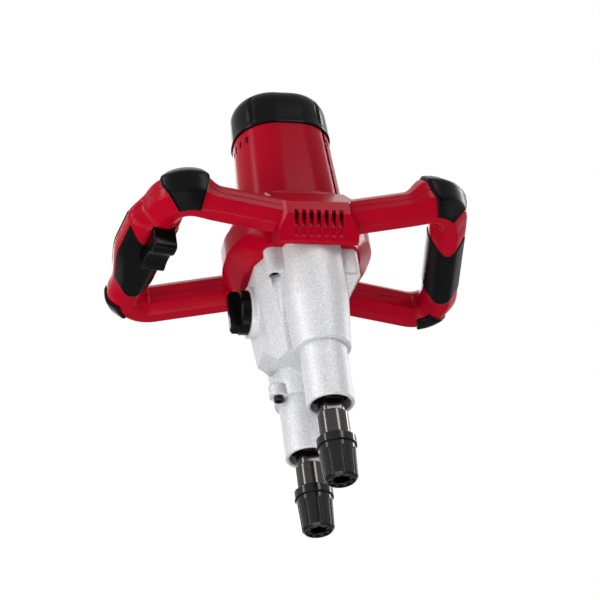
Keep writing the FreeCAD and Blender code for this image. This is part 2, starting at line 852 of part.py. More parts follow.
fork_hub = cyl(fork_hub_radius, tine_low - 2, tine_high + 4, rod_at)
arm_half = slot_reach + 2
arm_top = pin_z + slot_half + 3
arm = block(arm_outer, arm_inner, selector_y - arm_half, selector_y + arm_half, tine_low, arm_top)
slot = block(
    arm_outer,
    arm_inner,
    selector_y - slot_half - pin_offset,
    selector_y + slot_half + pin_offset,
    pin_z - slot_half,
    pin_z + slot_half,
)
fork_side = block(arm_outer, arm_inner, rod_at[1], selector_y, tine_low, tine_high)
fork = joined([fork_web, tines, fork_hub, arm, fork_side])
rod_hole = cyl(fork_rod_radius + running_clearance, tine_low - 2, tine_high + 4, rod_at)
parts["shift_fork"] = fork.cut([gap, mouth, slot, rod_hole])
parts["shift_rod"] = cyl(fork_rod_radius, rod_foot, rod_head, rod_at)

# Selector knob, shaft and eccentric pin
knob_face = -case_left - selector_boss_height - free_clearance
knob_centre = V(knob_face, selector_y, selector_z)
knob_disc = Part.makeCylinder(knob_radius, knob_thickness, knob_centre, V(-1, 0, 0))
knob_disc = knob_disc.makeChamfer(1.5, [knob_disc.Edges[0]])
bar = block(
    knob_face - knob_thickness - knob_bar_height,
    knob_face - knob_thickness,
    selector_y - knob_bar_width / 2,
    selector_y + knob_bar_width / 2,
    selector_z - knob_radius + 1.5,
    selector_z + knob_radius - 1.5,
)
bar_edges = [e for e in bar.Edges if abs(e.CenterOfMass.x - bar.BoundBox.XMin) < 0.01]
bar = bar.makeChamfer(2.5, bar_edges)
parts["selector_knob"] = joined([knob_disc, bar])
shaft_end = inner_wall + free_clearance
selector = Part.makeCylinder(knob_shaft_radius, shaft_end - knob_face, knob_centre, V(1, 0, 0))
pin = Part.makeCylinder(pin_radius, pin_length, V(shaft_end, pin_y, pin_z), V(1, 0, 0))
parts["selector_shaft"] = joined([selector, pin])

# Armature: shaft with its pinion, slotted core, commutator and fan
shaft_profile = [
    (0.0, first_bottom - 1),
    (motor_module * motor_pinion_teeth / 2 - dedendum * motor_module, first_bottom - 1),
    (motor_module * motor_pinion_teeth / 2 - dedendum * motor_module, first_top + 1),
    (motor_journal_radius - 1, first_top + 1),
    (motor_journal_radius - 1, plate_bottom + 1),
    (motor_journal_radius, plate_bottom + 1),
    (motor_journal_radius, case_top),
    (armature_shaft_radius, case_top + 1),
    (armature_shaft_radius, barrel_top - upper_bearing_width - 2),
    (upper_journal_radius, barrel_top - upper_bearing_width - 2),
    (upper_journal_radius, barrel_top - 1),
    (0.0, barrel_top - 1),
]
pinion_ends = (first_bottom - 1, first_top + 1)
motor_pinion = gear(motor_module, motor_pinion_teeth, *pinion_ends, motor_at, motor_phase)
parts["armature_shaft"] = joined([turned(shaft_profile), motor_pinion])
core = ring(armature_radius, armature_shaft_radius, stator_bottom, stator_top)
slot_root = armature_radius - slot_depth
slot_half_width = slot_width / 2
slot_rim = armature_radius + 1
slot_cut = block(slot_root, slot_rim, -slot_half_width, slot_half_width, stator_bottom, stator_top)
windings = [
    ring(armature_radius - 2, armature_shaft_radius, stator_bottom - coil_overhang, stator_bottom),
    ring(armature_radius - 2, armature_shaft_radius, stator_top, stator_top + coil_overhang),
]
parts["armature_core"] = joined([core.cut(around(slot_cut, armature_slots))] + windings)
commutator_top = commutator_bottom + commutator_length
bars = ring(commutator_radius, armature_shaft_radius, commutator_bottom, commutator_top)
bar_cut = block(
    commutator_radius - 1,
    commutator_radius + 1,
    -0.4,
    0.4,
    commutator_bottom,
    commutator_top,
)
parts["commutator"] = bars.cut(around(bar_cut, commutator_bars))
fan_plate = cyl(fan_radius, fan_bottom, fan_bottom + fan_disc)
fan_hub = cyl(fan_hub_radius, fan_bottom, fan_bottom + fan_height)
blade = block(
    fan_hub_radius - 1,
    fan_radius - 0.5,
    -fan_blade_thickness / 2,
    fan_blade_thickness / 2,
    fan_bottom + fan_disc / 2,
    fan_bottom + fan_height,
)
fan = joined([fan_plate, fan_hub] + around(blade, fan_blades))
parts["cooling_fan"] = fan.cut(cyl(armature_shaft_radius, fan_bottom, fan_bottom + fan_height))


# Motor housing: drafted barrel with a floor, a front groove, vents and carrying rings inside
def barrel_width(z):
    share = (z - case_top) / (barrel_top - case_top)
    return barrel_low_width + share * (barrel_top_width - barrel_low_width)


def barrel_depth(z):
    share = (z - case_top) / (barrel_top - case_top)
    return barrel_low_depth + share * (barrel_top_depth - barrel_low_depth)


def barrel(inset, low, high):
    sections = []
    for z in (low, high):
        sections.append((barrel_width(z) - inset, barrel_depth(z) - inset, barrel_corner - inset, z))
    return skin(sections)


barrel_outer = barrel(0.0, case_top, barrel_top)
barrel_inner = barrel(barrel_wall, case_top, barrel_top)
housing = barrel_outer.cut(barrel_inner)
top_low = barrel_top - upper_bearing_width
carriers = [
    (case_top, case_top + barrel_floor, barrel_floor_hole),
    (stator_bottom, stator_bottom + 12, stator_radius),
    (stator_top - 12, stator_top, stator_radius),
    (bridge_bottom, bridge_top, stator_radius),
    (top_low, barrel_top, top_seat_radius),
]
for low, high, seat in carriers:
    carrier = barrel_inner.common(block(-200, 200, -200, 200, low, high))
    housing = housing.fuse(carrier.cut(cyl(seat, low, high)))
housing = housing.removeSplitter()


def groove_wire(z):
    slant = math.sqrt(0.5)
    x = barrel_width(z) - barrel_corner * (1 - slant)
    y = -barrel_depth(z) + barrel_corner * (1 - slant)
    half = barrel_groove / 2
    corners = [(-1, -1), (1, -1), (1, 1), (-1, 1)]
    points = []
    for a, b in corners:
        across = a * half * slant
        deep = b * barrel_groove_depth * slant
        points.append(V(x + across + deep, y + across - deep, z))
    return wire(points)


housing_cuts = [Part.makeLoft([groove_wire(barrel_groove_bottom), groove_wire(barrel_top)], True, True)]
vent_inner = stator_radius - barrel_wall
vent_outer = barrel_low_width + barrel_wall
for side in (-1, 1):
    for i in range(barrel_vents):
        y = (i - (barrel_vents - 1) / 2) * barrel_vent_pitch - barrel_vent_shift
        vent = block(
            min(side * vent_inner, side * vent_outer),
            max(side * vent_inner, side * vent_outer),
            y - barrel_vent_width / 2,
            y + barrel_vent_width / 2,
            barrel_top - 2 * barrel_vent_height,
            barrel_top - barrel_vent_height,
        )
        housing_cuts.append(vent)
parts["motor_housing"] = housing.cut(housing_cuts)

# Stator with two poles, field coils round them
pole_root = stator_radius - stator_back


def sector(outer, inner, half_angle, low, high, turn):
    reach = 3 * outer
    wedge = [(0.0, 0.0)]
    steps = 4
    for i in range(steps + 1):
        angle = -half_angle + 2 * half_angle * i / steps
        wedge.append((reach * math.cos(angle), reach * math.sin(angle)))
    piece = ring(outer, inner, low, high).common(prism(wedge, low, high))
    piece.rotate(V(0, 0, 0), V(0, 0, 1), turn)
    return piece


stator = [ring(stator_radius, pole_root, stator_bottom, stator_top)]
coils = []
for turn in (0, 180):
    stator.append(sector(pole_root, stator_bore, pole_half_angle, stator_bottom, stator_top, turn))
    low = stator_bottom - coil_overhang
    high = stator_top + coil_overhang
    whole = sector(pole_root, stator_bore + 2 * coil_gap, coil_half_angle, low, high, turn)
    inside = sector(pole_root, stator_bore, pole_half_angle, stator_bottom, stator_top, turn)
    coils.append(whole.cut(inside))
parts["stator"] = joined(stator)
parts["field_coils"] = Part.makeCompound(coils)

# Brush bridge with its holders, brushes, and the bridge of the upper bearing
brush_low = commutator_bottom + (commutator_length - brush_height) / 2
brush_high = brush_low + brush_height
brush_start = commutator_radius + brush_clearance
bridge = ring(stator_radius, commutator_radius + 4, bridge_bottom, bridge_top)
holders = []
brushes = []
for turn in (0, 180):
    brush = block(brush_start, stator_radius - 6, -brush_width / 2, brush_width / 2, brush_low, brush_high)
    holder = block(
        brush_start + 3,
        stator_radius - 6,
        -brush_width / 2 - holder_wall,
        brush_width / 2 + holder_wall,
        bridge_top - 1,
        brush_high + holder_wall,
    )
    holder = holder.cut(brush)
    for shape, group in ((brush, brushes), (holder, holders)):
        shape.rotate(V(0, 0, 0), V(0, 0, 1), turn)
        group.append(shape)
parts["brush_bridge"] = joined([bridge] + holders)
parts["carbon_brushes"] = Part.makeCompound(brushes)
top_bridge = ring(top_seat_radius, upper_bearing_radius, top_low, barrel_top)
window = ring(top_seat_radius - 5, upper_bearing_radius + 4, top_low, barrel_top)
long_spoke = block(-stator_radius, stator_radius, -4, 4, top_low, barrel_top)
cross_spoke = block(-4, 4, -stator_radius, stator_radius, top_low, barrel_top)
spokes = joined([long_spoke, cross_spoke])
parts["bearing_bridge"] = top_bridge.cut(window.cut(spokes))
motor_bore = motor_journal_radius + running_clearance
upper_bore = upper_journal_radius + running_clearance
motor_bearings = [
    ring(motor_bearing_radius, motor_bore, case_top - motor_bearing_width, case_top),
    ring(upper_bearing_radius, upper_bore, top_low, barrel_top),
]
parts["armature_bearings"] = Part.makeCompound(motor_bearings)
counter_bore = counter_radius + running_clearance
counter_bearings = [
    ring(counter_bearing_radius, counter_bore, counter_bottom, case_floor, counter_at),
    ring(counter_bearing_radius, counter_bore, plate_bottom, counter_top, counter_at),
]
parts["countershaft_bearings"] = Part.makeCompound(counter_bearings)

# Motor cap: shouldered crown with a raised ring, side grooves and air slits
cap_sections = [
    (barrel_top_width + cap_rim, barrel_top_depth + cap_rim, barrel_corner, barrel_top),
    (barrel_top_width, barrel_top_depth, barrel_corner, barrel_top + cap_shoulder),
    (cap_crown_width, cap_crown_depth, cap_crown_corner, cap_top),
]
cap_inside = [(w - cap_wall, d - cap_wall, c - cap_wall, z) for w, d, c, z in cap_sections]
cap_inside[-1] = cap_inside[-1][:3] + (cap_top - cap_wall,)
cap = skin(cap_sections).cut(skin(cap_inside))
cap_ring_bore = cap_ring_radius - cap_ring_wall
cap = cap.fuse(ring(cap_ring_radius, cap_ring_bore, cap_top - 1, cap_top + cap_ring_height))
cap_cuts = []
groove_bend = cap_groove_x - barrel_top_width + barrel_corner
groove_face = barrel_top_depth - barrel_corner + math.sqrt(barrel_corner ** 2 - groove_bend ** 2)
for side in (-1, 1):
    x = side * cap_groove_x
    cap_cuts.append(
        block(
            x - cap_groove / 2,
            x + cap_groove / 2,
            -barrel_top_depth - cap_rim,
            -groove_face + cap_wall / 2,
            barrel_top + 3,
            barrel_top + cap_shoulder - 2,
        )
    )
    for i in range(cap_slits):
        y = (i - (cap_slits - 1) / 2) * cap_slit_pitch
        edge = side * barrel_top_width
        cap_cuts.append(
            block(
                edge - 3 * cap_wall,
                edge + 3 * cap_wall,
                y - cap_slit_width / 2,
                y + cap_slit_width / 2,
                barrel_top + 4,
                barrel_top + cap_shoulder - 3,
            )
        )
parts["motor_cap"] = cap.cut(cap_cuts)

# Frame: flared collar round the motor foot with the vent box in front
collar_sections = [
    (frame_foot_width, frame_foot_depth, frame_foot_corner, case_top),
    (frame_waist_width, frame_waist_depth, frame_waist_corner, frame_waist_low),
    (frame_waist_width, frame_waist_depth, frame_waist_corner, frame_waist_high),
    (frame_top_width, frame_top_depth, frame_top_corner, frame_top),
]
slope_back = box_front - (frame_top - box_face_high - 10)
lip_back = half_pitch + column_top_radius + box_lip_gap
side_outline = [
    (-box_front, box_face_low),
    (-box_front, box_face_high),
    (-slope_back, frame_top - 10),
    (0.0, frame_top - 10),
    (0.0, case_top),
    (-lip_back, case_top),
    (-lip_back, box_lip_bottom),
    (-box_under_y, box_lip_bottom),
]
side_face = Part.Face(wire([V(-box_half_width, y, z) for y, z in side_outline]))
vent_box = side_face.extrude(V(2 * box_half_width, 0, 0))
for side in (-1, 1):
    corner = prism(
        [
            (side * (box_half_width - box_chamfer), -box_front - 1),
            (side * (box_half_width + 1), -box_front - 1),
            (side * (box_half_width + 1), -box_front + box_chamfer + 1),
        ],
        box_lip_bottom - 1,
        frame_top,
    )
    vent_box = vent_box.cut(corner)
frame_outer = joined([skin(collar_sections), vent_box])
cavity_outline = [
    (-box_front + box_wall, box_face_low + 1),
    (-box_front + box_wall, box_face_high - 3),
    (-slope_back - box_wall, frame_top - 10 - 2 * box_wall),
    (-barrel_low_depth - box_wall, frame_top - 10 - 2 * box_wall),
    (-barrel_low_depth - box_wall, case_top + box_wall),
    (-box_under_y + 2, case_top + box_wall),
]
cavity_half = box_half_width - box_chamfer
cavity_face = Part.Face(wire([V(-cavity_half, y, z) for y, z in cavity_outline]))
frame_cuts = [barrel(0.0, case_top - box_wall, barrel_top), cavity_face.extrude(V(2 * cavity_half, 0, 0))]
under_slope = (box_face_low - box_lip_bottom) / (box_front - box_under_y)
notch_low = box_face_low - vent_notch * under_slope + vent_groove
groove_low = box_face_low - vent_end * under_slope + vent_groove
slot_outline = [
    (-box_front - 1, vent_top),
    (-box_front + vent_notch, vent_top),
    (-box_front + vent_notch, notch_low),
    (-box_front + vent_end, groove_low),
    (-box_front + vent_end, box_lip_bottom - 1),
    (-box_front - 1, box_lip_bottom - 1),
]
for i in range(vent_slots):
    x = (i - (vent_slots - 1) / 2) * vent_pitch
    slot_face = Part.Face(wire([V(x - vent_width / 2, y, z) for y, z in slot_outline]))
    frame_cuts.append(slot_face.extrude(V(vent_width, 0, 0)))
parts["main_frame"] = frame_outer.cut(frame_cuts)


# Handles: one closed centre line per side, lofted through eight-sided sections
def along(start, end, length):
    step = end.sub(start)
    step.normalize()
    return start.add(step.multiply(length))


def mixed(first, second, share):
    return tuple(a + (b - a) * share for a, b in zip(first, second))


def handle_frames(bulge):
    """Places, directions and sizes of the sections; a bulge widens the grip outward."""
    nodes = [V(*arm_root), V(*grip_front), V(*grip_rear), V(*rear_root)]
    arm = (arm_width, arm_height, arm_chamfer)
    flare = (flare_width, flare_height, flare_chamfer)
    grip = (grip_width, grip_height, grip_chamfer)
    wide = (grip_width + bulge, grip_height, grip_chamfer)
    back = (rear_width, rear_height, rear_chamfer)
    sizes = [(flare, flare), (grip, back)]
    bends = [front_bend, rear_bend]
    lifts = [flare_lift, 0.0]
    stations = [(nodes[0], nodes[1].sub(nodes[0]), arm, 0.0, 0.0)]
    for i in (1, 2):
        ahead = nodes[i].sub(nodes[i - 1])
        ahead.normalize()
        beyond = nodes[i + 1].sub(nodes[i])
        beyond.normalize()
        turn = ahead.getAngle(beyond)
        side = beyond.sub(V(ahead).multiply(ahead.dot(beyond)))
        side.normalize()
        radius = bends[i - 1]
        enter = nodes[i].sub(V(ahead).multiply(radius * math.tan(turn / 2)))
        if i == 1:
            stations.append((along(enter, nodes[0], flare_length), V(ahead), arm, 0.0, 0.0))
        for step in range(corner_steps + 1):
            share = step / corner_steps
            angle = turn * share
            forward = V(ahead).multiply(radius * math.sin(angle))
            place = enter.add(forward).add(V(side).multiply(radius * (1 - math.cos(angle))))
            run = V(ahead).multiply(math.cos(angle)).add(V(side).multiply(math.sin(angle)))
            stations.append((place, run, mixed(*sizes[i - 1], share), lifts[i - 1], 0.0))
        if i == 1:
            for reach in (bulge_start, bulge_end):
                stations.append((along(nodes[1], nodes[2], reach), V(beyond), wide, 0.0, bulge / 2))
    stations.append((nodes[3], nodes[3].sub(nodes[2]), back, 0.0, 0.0))
    frames = []
    for place, run, size, lift, shift in stations:
        run.normalize()
        across = run.cross(V(0, 0, 1))
        across.normalize()
        up = across.cross(run)
        centre = place.add(V(up).multiply(lift)).add(V(across).multiply(shift))
        frames.append((centre, across, up, size))
    return frames


def section(frame, grow, half):
    place, across, up, size = frame
    w = size[0] / 2 + grow
    h = size[1] / 2 + grow
    c = size[2] + 0.5858 * grow
    top = [(w, 0.0), (w, h - c), (w - c, h), (-w + c, h), (-w, h - c), (-w, 0.0)]
    low = [(-w, 0.0), (-w, -h + c), (-w + c, -h), (w - c, -h), (w, -h + c), (w, 0.0)]
    outline = {"top": top, "low": low, "both": top[1:5] + low[1:5]}[half]
    points = []
    for a, b in outline:
        points.append(place.add(V(across).multiply(a)).add(V(up).multiply(b)))
    return wire(points)


def handle_loft(bulge, grow, half="both", overrun=0.0):
    """Handle grown or shrunk by one thickness, run on past both roots by the overrun."""
    stations = handle_frames(bulge)
    first = along(stations[0][0], stations[1][0], -overrun)
    last = along(stations[-1][0], stations[-2][0], -overrun)
    stations[0] = (first,) + stations[0][1:]
    stations[-1] = (last,) + stations[-1][1:]
    return Part.makeLoft([section(f, grow, half) for f in stations], True, True)


grip_line = V(*grip_rear).sub(V(*grip_front))


def grip_x(y):
    return grip_front[0] + (y - grip_front[1]) * grip_line.x / grip_line.y


soft_region = prism(
    [
        (grip_x(soft_front) - grip_width, soft_front),
        (grip_x(soft_tip), soft_tip),
        (grip_x(soft_front) + grip_width, soft_front),
        (grip_x(soft_rear_side) + grip_width, soft_rear_side),
        (grip_x(soft_rear), soft_rear),
        (grip_x(soft_rear_side) - grip_width, soft_rear_side),
    ],
    grip_rear[2] - 2 * grip_height,
    grip_rear[2] + 2 * grip_height,
)
box_keepout = block(-box_half_width, box_half_width, -2 * box_front, 0.0, case_floor, barrel_top)


def handle_set(bulge):
    """Upper shell, lower shell and soft grip of one handle, drawn on the right."""
    core = handle_loft(bulge, -soft_thickness, overrun=2.0)
    hollow = handle_loft(bulge, -soft_thickness - handle_wall, overrun=2.0)
    soft = handle_loft(bulge, 0.0).cut(core).common(soft_region)
    cuts = [hollow, soft, frame_outer, box_keepout]
    upper = handle_loft(bulge, 0.0, "top").cut(cuts)
    lower = handle_loft(bulge, 0.0, "low").cut(cuts)
    return upper, lower, soft


frames = handle_frames(0.0)
corner_count = corner_steps + 1
front_corner = frames[2 : 1 + corner_count]
rear_start = 4 + corner_count
rear_corner = frames[rear_start : rear_start + corner_count]


def front_pad(size, grow):
    w = size[0] / 2 + grow
    h = size[1] / 2 + grow
    c = size[2] + 0.5858 * grow
    return [(w - c / 2, -h + c / 2), (w, -h + c), (w, h - c), (w - c, h), (-bumper_wrap, h)]


def rear_low_pad(size, grow):
    w = size[0] / 2 + grow
    h = size[1] / 2 + grow
    c = size[2] + 0.5858 * grow
    return [(w - c / 2, -h + c / 2), (w - c, -h), (-bumper_wrap, -h)]


def rear_side_pad(size, grow):
    w = size[0] / 2 + grow
    h = size[1] / 2 + grow
    c = size[2] + 0.5858 * grow
    return [(w, h - c), (w, -h + c), (w - c / 2, -h + c / 2)]


def bumper(corner_frames, outline):
    """Pad of even thickness that follows the handle round one corner."""
    wires = []
    for place, across, up, size in corner_frames:
        loop = outline(size, bumper_thickness) + outline(size, 0.0)[::-1]
        wires.append(wire([place.add(V(across).multiply(a)).add(V(up).multiply(b)) for a, b in loop]))
    return Part.makeLoft(wires, True, True)


front_bumper = bumper(front_corner, front_pad)
upper_shell, lower_shell, soft_grip = handle_set(0.0)
parts["right_handle_upper"] = upper_shell
parts["right_handle_lower"] = lower_shell
parts["right_soft_grip"] = soft_grip
parts["right_front_bumper"] = front_bumper
parts["right_rear_bumper"] = bumper(rear_corner, rear_low_pad)
parts["left_front_bumper"] = mirrored(front_bumper)
parts["left_rear_bumper"] = mirrored(bumper(rear_corner, rear_side_pad))

# Trigger, switch and pin in the left grip, drawn along the grip and turned into place
grip_left = V(-grip_line.x, grip_line.y, grip_line.z)
grip_left.normalize()
grip_start = V(-grip_front[0], grip_front[1], grip_front[2])
trigger_at = grip_start.add(V(grip_left).multiply(trigger_station * grip_line.Length))
level = V(0, 0, 1).cross(grip_left)
level.normalize()
press = level.cross(grip_left)
press = press if press.z < 0 else press.multiply(-1)
sideways = grip_left.cross(press)
trigger_turn = FreeCAD.Matrix(
    grip_left.x, press.x, sideways.x, trigger_at.x,
    grip_left.y, press.y, sideways.y, trigger_at.y,
    grip_left.z, press.z, sideways.z, trigger_at.z,
    0, 0, 0, 1,
)


def in_grip(shape):
    return shape.transformed(trigger_turn)


def bar_along(outline, half_width):
    face = Part.Face(wire([V(t, d, -half_width) for t, d in outline]))
    return face.extrude(V(0, 0, 2 * half_width))


half_length = trigger_length / 2
pivot_t = -half_length + trigger_pivot_inset
stem_outline = [
    (-half_length, trigger_pivot_depth - 3),
    (-half_length, paddle_top + 1),
    (half_length, paddle_top + 1),
    (half_length, trigger_depth + 2),
    (pivot_t + 12, trigger_depth),
    (pivot_t + 6, trigger_pivot_depth - 3),
]
channel_floor = trigger_reach - trigger_channel
paddle_outline = [
    (-half_length, paddle_top),
    (-half_length, trigger_reach - 4),
    (-half_length + 4, trigger_reach),
    (-half_length + paddle_nose, trigger_reach),
    (-half_length + paddle_nose + trigger_channel, channel_floor),
    (half_length - paddle_heel, channel_floor),
    (half_length - 4, channel_floor + trigger_channel / 2),
    (half_length, channel_floor),
    (half_length, paddle_top),
]
paddle = bar_along(paddle_outline, paddle_width / 2)
trigger = joined([bar_along(stem_outline, trigger_width / 2), paddle])
pin_axis = V(0, 0, 1)
pin_half = trigger_width / 2 + free_clearance + switch_ear
pin_start = V(pivot_t, trigger_pivot_depth, -pin_half)
pin_bore = Part.makeCylinder(trigger_pin_radius + running_clearance, 2 * pin_half, pin_start, pin_axis)
parts["trigger"] = in_grip(trigger.cut(pin_bore))
pin_shape = Part.makeCylinder(trigger_pin_radius, 2 * pin_half, pin_start, pin_axis)
parts["trigger_pin"] = in_grip(pin_shape)
hollow_half = grip_width / 2 - soft_thickness - handle_wall - switch_seat_gap
hollow_chamfer = grip_chamfer - 0.5858 * (grip_width / 2 - hollow_half)
switch_back = 2 * hollow_half - hollow_chamfer - switch_width / 2
switch_start = V(-switch_length / 2, -switch_back, -switch_width / 2)
switch = Part.makeBox(switch_length, switch_back, switch_width, switch_start)
ear_foot = -ear_length / 2
ear_start = pivot_t - ear_length / 2
ear_block = Part.makeBox(ear_length, ear_height, 2 * pin_half, V(ear_start, ear_foot, -pin_half))
channel_half = pin_half - switch_ear
channel = Part.makeBox(ear_length, ear_height, 2 * channel_half, V(ear_start, 0, -channel_half))
hole_start = V(pivot_t, trigger_pivot_depth, -2 * pin_half)
pin_hole = Part.makeCylinder(trigger_pin_radius, 4 * pin_half, hole_start, pin_axis)
switch = joined([switch, ear_block.cut(channel)]).cut(pin_hole)
parts["switch_body"] = in_grip(switch)
spring_t = half_length - 12
spring_foot = V(spring_t, 0, 0)
spring_core = Part.makeCylinder(trigger_spring_radius - 1, trigger_spring_length, spring_foot, V(0, 1, 0))
spring_shape = Part.makeCylinder(trigger_spring_radius, trigger_spring_length, spring_foot, V(0, 1, 0))
parts["trigger_spring"] = in_grip(spring_shape.cut(spring_core))
well = bar_along(
    [
        (-half_length - free_clearance, 0.0),
        (-half_length - free_clearance, trigger_reach + 10),
        (half_length + trigger_end_gap, trigger_reach + 10),
        (half_length + trigger_end_gap, 0.0),
    ],
    paddle_width / 2 + free_clearance,
)
well = in_grip(well)
inlet_frame = frames[-2]
inlet_place = along(inlet_frame[0], V(*rear_root), 2 * inlet_radius)
inlet_seat = rear_width / 2 - inlet_length / 2
inlet_start = inlet_place.add(V(inlet_frame[1]).multiply(inlet_seat))
inlet_outer = Part.makeCylinder(inlet_radius, inlet_length, inlet_start, inlet_frame[1])
inlet_inner = Part.makeCylinder(inlet_bore, inlet_length, inlet_start, inlet_frame[1])
parts["cable_inlet"] = mirrored(inlet_outer.cut(inlet_inner))
upper_shell, lower_shell, soft_grip = handle_set(switch_bulge)
inlet_hole = mirrored(inlet_outer)
parts["left_handle_upper"] = mirrored(upper_shell).cut([well, inlet_hole])
parts["left_handle_lower"] = mirrored(lower_shell).cut([well, inlet_hole])
parts["left_soft_grip"] = mirrored(soft_grip).cut(well)

os.makedirs("parts", exist_ok=True)
for name, shape in parts.items():
    shape.exportStep(os.path.join("parts", name + ".step"))
print("nodes", len(parts), "volume cm3", round(sum(s.Volume for s in parts.values()) / 1000))
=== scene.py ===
"""Finishes and fine detail for a hand held mixing drill with two stirrer chucks."""
import json
import math
from typing import NamedTuple

import bmesh
import bpy
from mathutils import Matrix, Vector


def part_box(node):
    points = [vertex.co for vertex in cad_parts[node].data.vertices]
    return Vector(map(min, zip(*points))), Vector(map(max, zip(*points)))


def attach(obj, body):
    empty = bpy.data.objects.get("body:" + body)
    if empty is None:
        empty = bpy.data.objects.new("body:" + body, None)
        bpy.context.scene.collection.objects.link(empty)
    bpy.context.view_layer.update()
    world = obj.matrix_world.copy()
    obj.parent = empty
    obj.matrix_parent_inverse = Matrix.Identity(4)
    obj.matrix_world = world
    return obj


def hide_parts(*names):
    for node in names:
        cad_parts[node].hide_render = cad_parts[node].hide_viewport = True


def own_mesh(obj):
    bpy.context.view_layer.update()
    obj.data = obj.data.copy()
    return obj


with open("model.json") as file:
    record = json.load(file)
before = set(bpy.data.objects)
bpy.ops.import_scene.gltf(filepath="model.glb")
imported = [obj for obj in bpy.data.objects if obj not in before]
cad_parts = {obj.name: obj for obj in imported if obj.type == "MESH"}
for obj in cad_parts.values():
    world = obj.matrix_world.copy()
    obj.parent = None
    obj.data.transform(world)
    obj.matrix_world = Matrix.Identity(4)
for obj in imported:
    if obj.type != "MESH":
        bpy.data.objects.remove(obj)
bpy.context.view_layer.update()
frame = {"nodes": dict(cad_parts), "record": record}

bl_info = {
    "name": "Mixing Drill Dressing",
    "version": (1, 0, 0),
    "blender": (4, 5, 0),
    "location": "View3D > Sidebar > Mixing Drill",
    "description": "Dresses the solids of a twin spindle mixing drill with finishes and moulded detail",
    "category": "Object",
}

# Millimetre in metres, and how many make a metre
mm = 0.001
mm_per_metre = 1000.0

# Made pieces are shaded smooth across edges that bend less than this
sharp_angle = math.radians(38.0)

# Noise that all finishes share
cloud_detail = 6.0
cloud_roughness = 0.62
cloud_low = 0.30
cloud_high = 0.70
grain_detail = 3.0
grain_low = 0.25
grain_high = 0.75
rounding_samples = 6

# Finish of each material slot; a slot that isn't listed gets the spindles' finish
slot_finishes = {
    "red_plastic": "shell_red",
    "black_plastic": "moulded_black",
    "soft_rubber": "soft_black",
    "cast_aluminium": "blasted_metal",
    "black_steel": "chuck_black",
}
other_finish = "spindle_chrome"
finishes = {}


class DrillColours(bpy.types.PropertyGroup):
    """Colours of the drill's finishes."""

    shell_red: bpy.props.FloatVectorProperty(
        name="Shell Red",
        description="Crimson of the moulded shells",
        subtype="COLOR",
        size=4,
        min=0.0,
        max=1.0,
        default=(0.34, 0.0010, 0.0125, 1.0),
    )
    moulded_black: bpy.props.FloatVectorProperty(
        name="Moulded Black",
        description="Black of the cap, trigger and selector",
        subtype="COLOR",
        size=4,
        min=0.0,
        max=1.0,
        default=(0.0025, 0.0025, 0.003, 1.0),
    )
    soft_black: bpy.props.FloatVectorProperty(
        name="Soft Black",
        description="Charcoal of the soft grips and corner bumpers",
        subtype="COLOR",
        size=4,
        min=0.0,
        max=1.0,
        default=(0.0032, 0.003, 0.0032, 1.0),
    )
    blasted_metal: bpy.props.FloatVectorProperty(
        name="Blasted Metal",
        description="Pale grey of the shot blasted castings",
        subtype="COLOR",
        size=4,
        min=0.0,
        max=1.0,
        default=(0.57, 0.572, 0.582, 1.0),
    )
    chuck_black: bpy.props.FloatVectorProperty(
        name="Chuck Black",
        description="Blackened steel of the chuck sleeves and screws",
        subtype="COLOR",
        size=4,
        min=0.0,
        max=1.0,
        default=(0.006, 0.0057, 0.006, 1.0),
    )
    spindle_chrome: bpy.props.FloatVectorProperty(
        name="Spindle Chrome",
        description="Dark polished metal of the spindles",
        subtype="COLOR",
        size=4,
        min=0.0,
        max=1.0,
        default=(0.055, 0.052, 0.049, 1.0),
    )


class DrillSizes(bpy.types.PropertyGroup):
    """Sizes of the dressing and the stage."""

    edge_softness: bpy.props.FloatProperty(
        name="Edge Softness",
        description="Radius that rounds the moulded edges",
        unit="LENGTH",
        default=0.0009,
    )
    casting_edge: bpy.props.FloatProperty(
        name="Casting Edge",
        description="Radius that rounds the edges of the castings",
        unit="LENGTH",
        default=0.0022,
    )
    soft_stand: bpy.props.FloatProperty(
        name="Soft Stand",
        description="Height of the soft grips above the shells",
        unit="LENGTH",
        default=0.0010,
    )
    bumper_stand: bpy.props.FloatProperty(
        name="Bumper Stand",
        description="Thickness of the corner bumpers",
        unit="LENGTH",
        default=0.0030,
    )
    parting_depth: bpy.props.FloatProperty(
        name="Parting Depth",
        description="Depth of the line between the two halves of a handle",
        unit="LENGTH",
        default=0.0005,
    )
    floor_drop: bpy.props.FloatProperty(
        name="Floor Drop",
        description="Height of the floor from the chuck mouths",
        unit="LENGTH",
        default=-1.35,
    )
    lens: bpy.props.FloatProperty(
        name="Lens",
        description="Focal length of the camera",
        unit="CAMERA",
        default=122.07,
    )


def shaded(colour, factor):
    return tuple(min(1.0, c * factor) for c in colour[:3]) + (1.0,)


